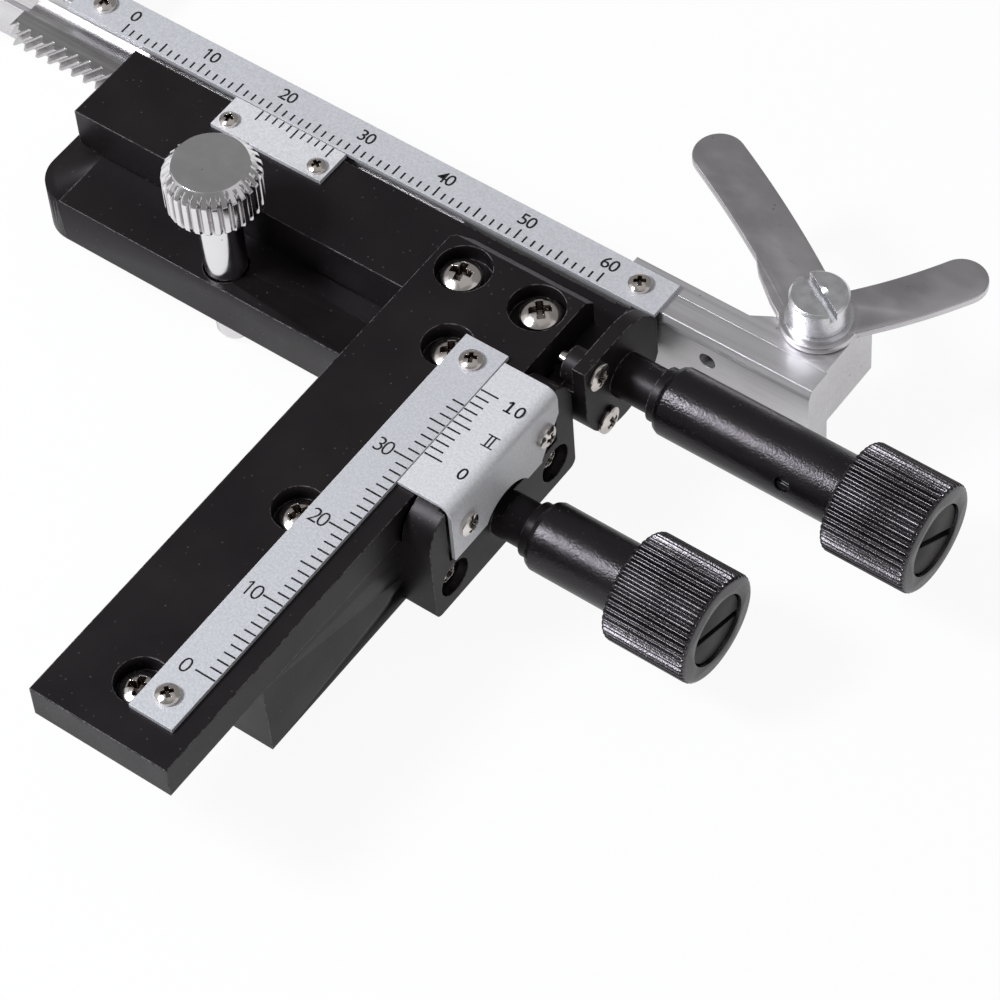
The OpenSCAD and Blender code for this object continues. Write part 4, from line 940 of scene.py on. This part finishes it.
for y in yVernier["slabs"]:
    marks.append(makeBar(yVernier["slabFrom"], yVernier["slabTo"], y - yVernier["slabHalf"],
                         y + yVernier["slabHalf"], scaleTop))
finishPiece(joined("yVernierMarks", marks), "base", ink)

# X ruler lines across Y, numbered behind
xRulerTop = cornersOf("x_ruler")[1][2]
xScale = {"zero": -25.0, "count": 60, "front": 15.1, "long": 16.42, "short": 15.98, "line": 0.21,
          "numberAt": 17.64, "numberLeft": 0.1, "apart": 0.96}
xStyle = {"high": 1.45, "wide": 1.05, "weight": 0.006, "stroke": 0.22}
marks = []
for n in range(xScale["count"] + 1):
    x = xScale["zero"] + n
    half = xScale["line"] / 2
    back = xScale["long"] if n % 5 == 0 else xScale["short"]
    marks.append(makeBar(x - half, x + half, xScale["front"], back, xRulerTop))
    if n % 10 == 0:
        spread = xScale["apart"] / 2 * (len(str(n)) - 1)
        middle = x - xScale["numberLeft"]
        marks += makeNumber(str(n), [middle - spread, middle + spread], xScale["numberAt"], xRulerTop, xStyle)
finishPiece(joined("xScaleMarks", marks), "x_slide", ink)

# X vernier: ten parts of 0.9 that count to the left
xVernierBack = cornersOf("x_vernier_plate")[1][1]
xVernier = {"zero": 3.0, "step": -0.9, "parts": 10, "long": 13.2, "short": 13.7, "line": 0.19}
marks = []
for n in range(xVernier["parts"] + 1):
    x = xVernier["zero"] + n * xVernier["step"]
    half = xVernier["line"] / 2
    front = xVernier["long"] if n % 5 == 0 else xVernier["short"]
    marks.append(makeBar(x - half, x + half, front, xVernierBack - inkEdge, xRulerTop))
finishPiece(joined("xVernierMarks", marks), "y_stage", ink)

# Floor and world: the camera sees both near white, and metal sees them dimmer by these strengths
print("studio")
studio = {"floorSize": 4.0, "floorGap": 0.1, "floorColour": (0.9, 0.9, 0.9, 1), "floorSpecular": 0.1,
          "floorRoughness": 0.9, "glow": 0.93, "glossShare": 0.62, "worldLight": 0.25}
bpy.ops.mesh.primitive_plane_add(size=studio["floorSize"],
                                 location=metres((0, 0, clampLow[2] - studio["floorGap"])))
floor = bpy.context.object
floor.name = "floor"
material, tree, shader = newMaterial("paleFloor", specular=studio["floorSpecular"],
                                     roughness=studio["floorRoughness"])
shader.inputs["Base Color"].default_value = studio["floorColour"]
glow = addNode(tree, "ShaderNodeEmission", Strength=1.0)
path = addNode(tree, "ShaderNodeLightPath").outputs
gloss = times(tree, path["Is Glossy Ray"], studio["glossShare"])
seen = maths(tree, "MAXIMUM", path["Is Camera Ray"],
             maths(tree, "MAXIMUM", gloss, path["Is Transmission Ray"]))
mixed = addNode(tree, "ShaderNodeMixShader", n0=times(tree, seen, studio["glow"]), n1=shader.outputs[0],
                n2=glow.outputs[0])
tree.links.new(mixed.outputs[0], tree.nodes["Material Output"].inputs["Surface"])
floor.data.materials.append(material)

world = bpy.data.worlds.new("studio")
bpy.context.scene.world = world
world.use_nodes = True
tree = world.node_tree
back = tree.nodes["Background"]
path = addNode(tree, "ShaderNodeLightPath").outputs
seen = maths(tree, "MAXIMUM", path["Is Camera Ray"], path["Is Transmission Ray"])
tree.links.new(ramp(tree, seen, 0.0, 1.0, studio["worldLight"], 1.0), back.inputs["Strength"])
back.inputs["Color"].default_value = (1.0, 1.0, 1.0, 1)

# Lamps, sizes in millimetres and power in watts, all aimed at one point
lamps = [
    {"name": "key", "at": (-193, -228, 402), "size": 130, "power": 2.2, "colour": (0.94, 0.96, 1.0)},
    {"name": "topSoft", "at": (60, 60, 560), "size": 480, "power": 0.15, "colour": (1.0, 0.98, 0.98)},
    {"name": "leftSoft", "at": (-460, -260, 300), "size": 420, "power": 0.22, "colour": (1.0, 0.97, 1.0)},
    {"name": "rightSoft", "at": (480, 60, 330), "size": 420, "power": 0.22, "colour": (0.97, 0.97, 1.0)},
]
aim = Vector((25, -5, 8)) * mm
for lamp in lamps:
    bpy.ops.object.light_add(type="AREA", location=Vector(lamp["at"]) * mm)
    light = bpy.context.object
    light.name = lamp["name"]
    light.data.size = lamp["size"] * mm
    light.data.energy = lamp["power"]
    light.data.color = lamp["colour"]
    light.rotation_euler = (aim - light.location).to_track_quat("-Z", "Y").to_euler()

# The photograph's camera, sizes in millimetres and degrees; near and far are metres
cameraPlace = {"at": (199.49, -196.60, 336.90), "turned": (36.5738, 3.0623, 36.1389), "lens": 155.2,
               "sensor": 36, "near": 0.01, "far": 20}
bpy.ops.object.camera_add(location=Vector(cameraPlace["at"]) * mm,
                          rotation=[math.radians(angle) for angle in cameraPlace["turned"]])
camera = bpy.context.object
camera.data.lens = cameraPlace["lens"]
camera.data.sensor_width = cameraPlace["sensor"]
camera.data.clip_start = cameraPlace["near"]
camera.data.clip_end = cameraPlace["far"]
bpy.context.scene.camera = camera
bpy.context.scene.view_settings.view_transform = "Standard"

print("done")
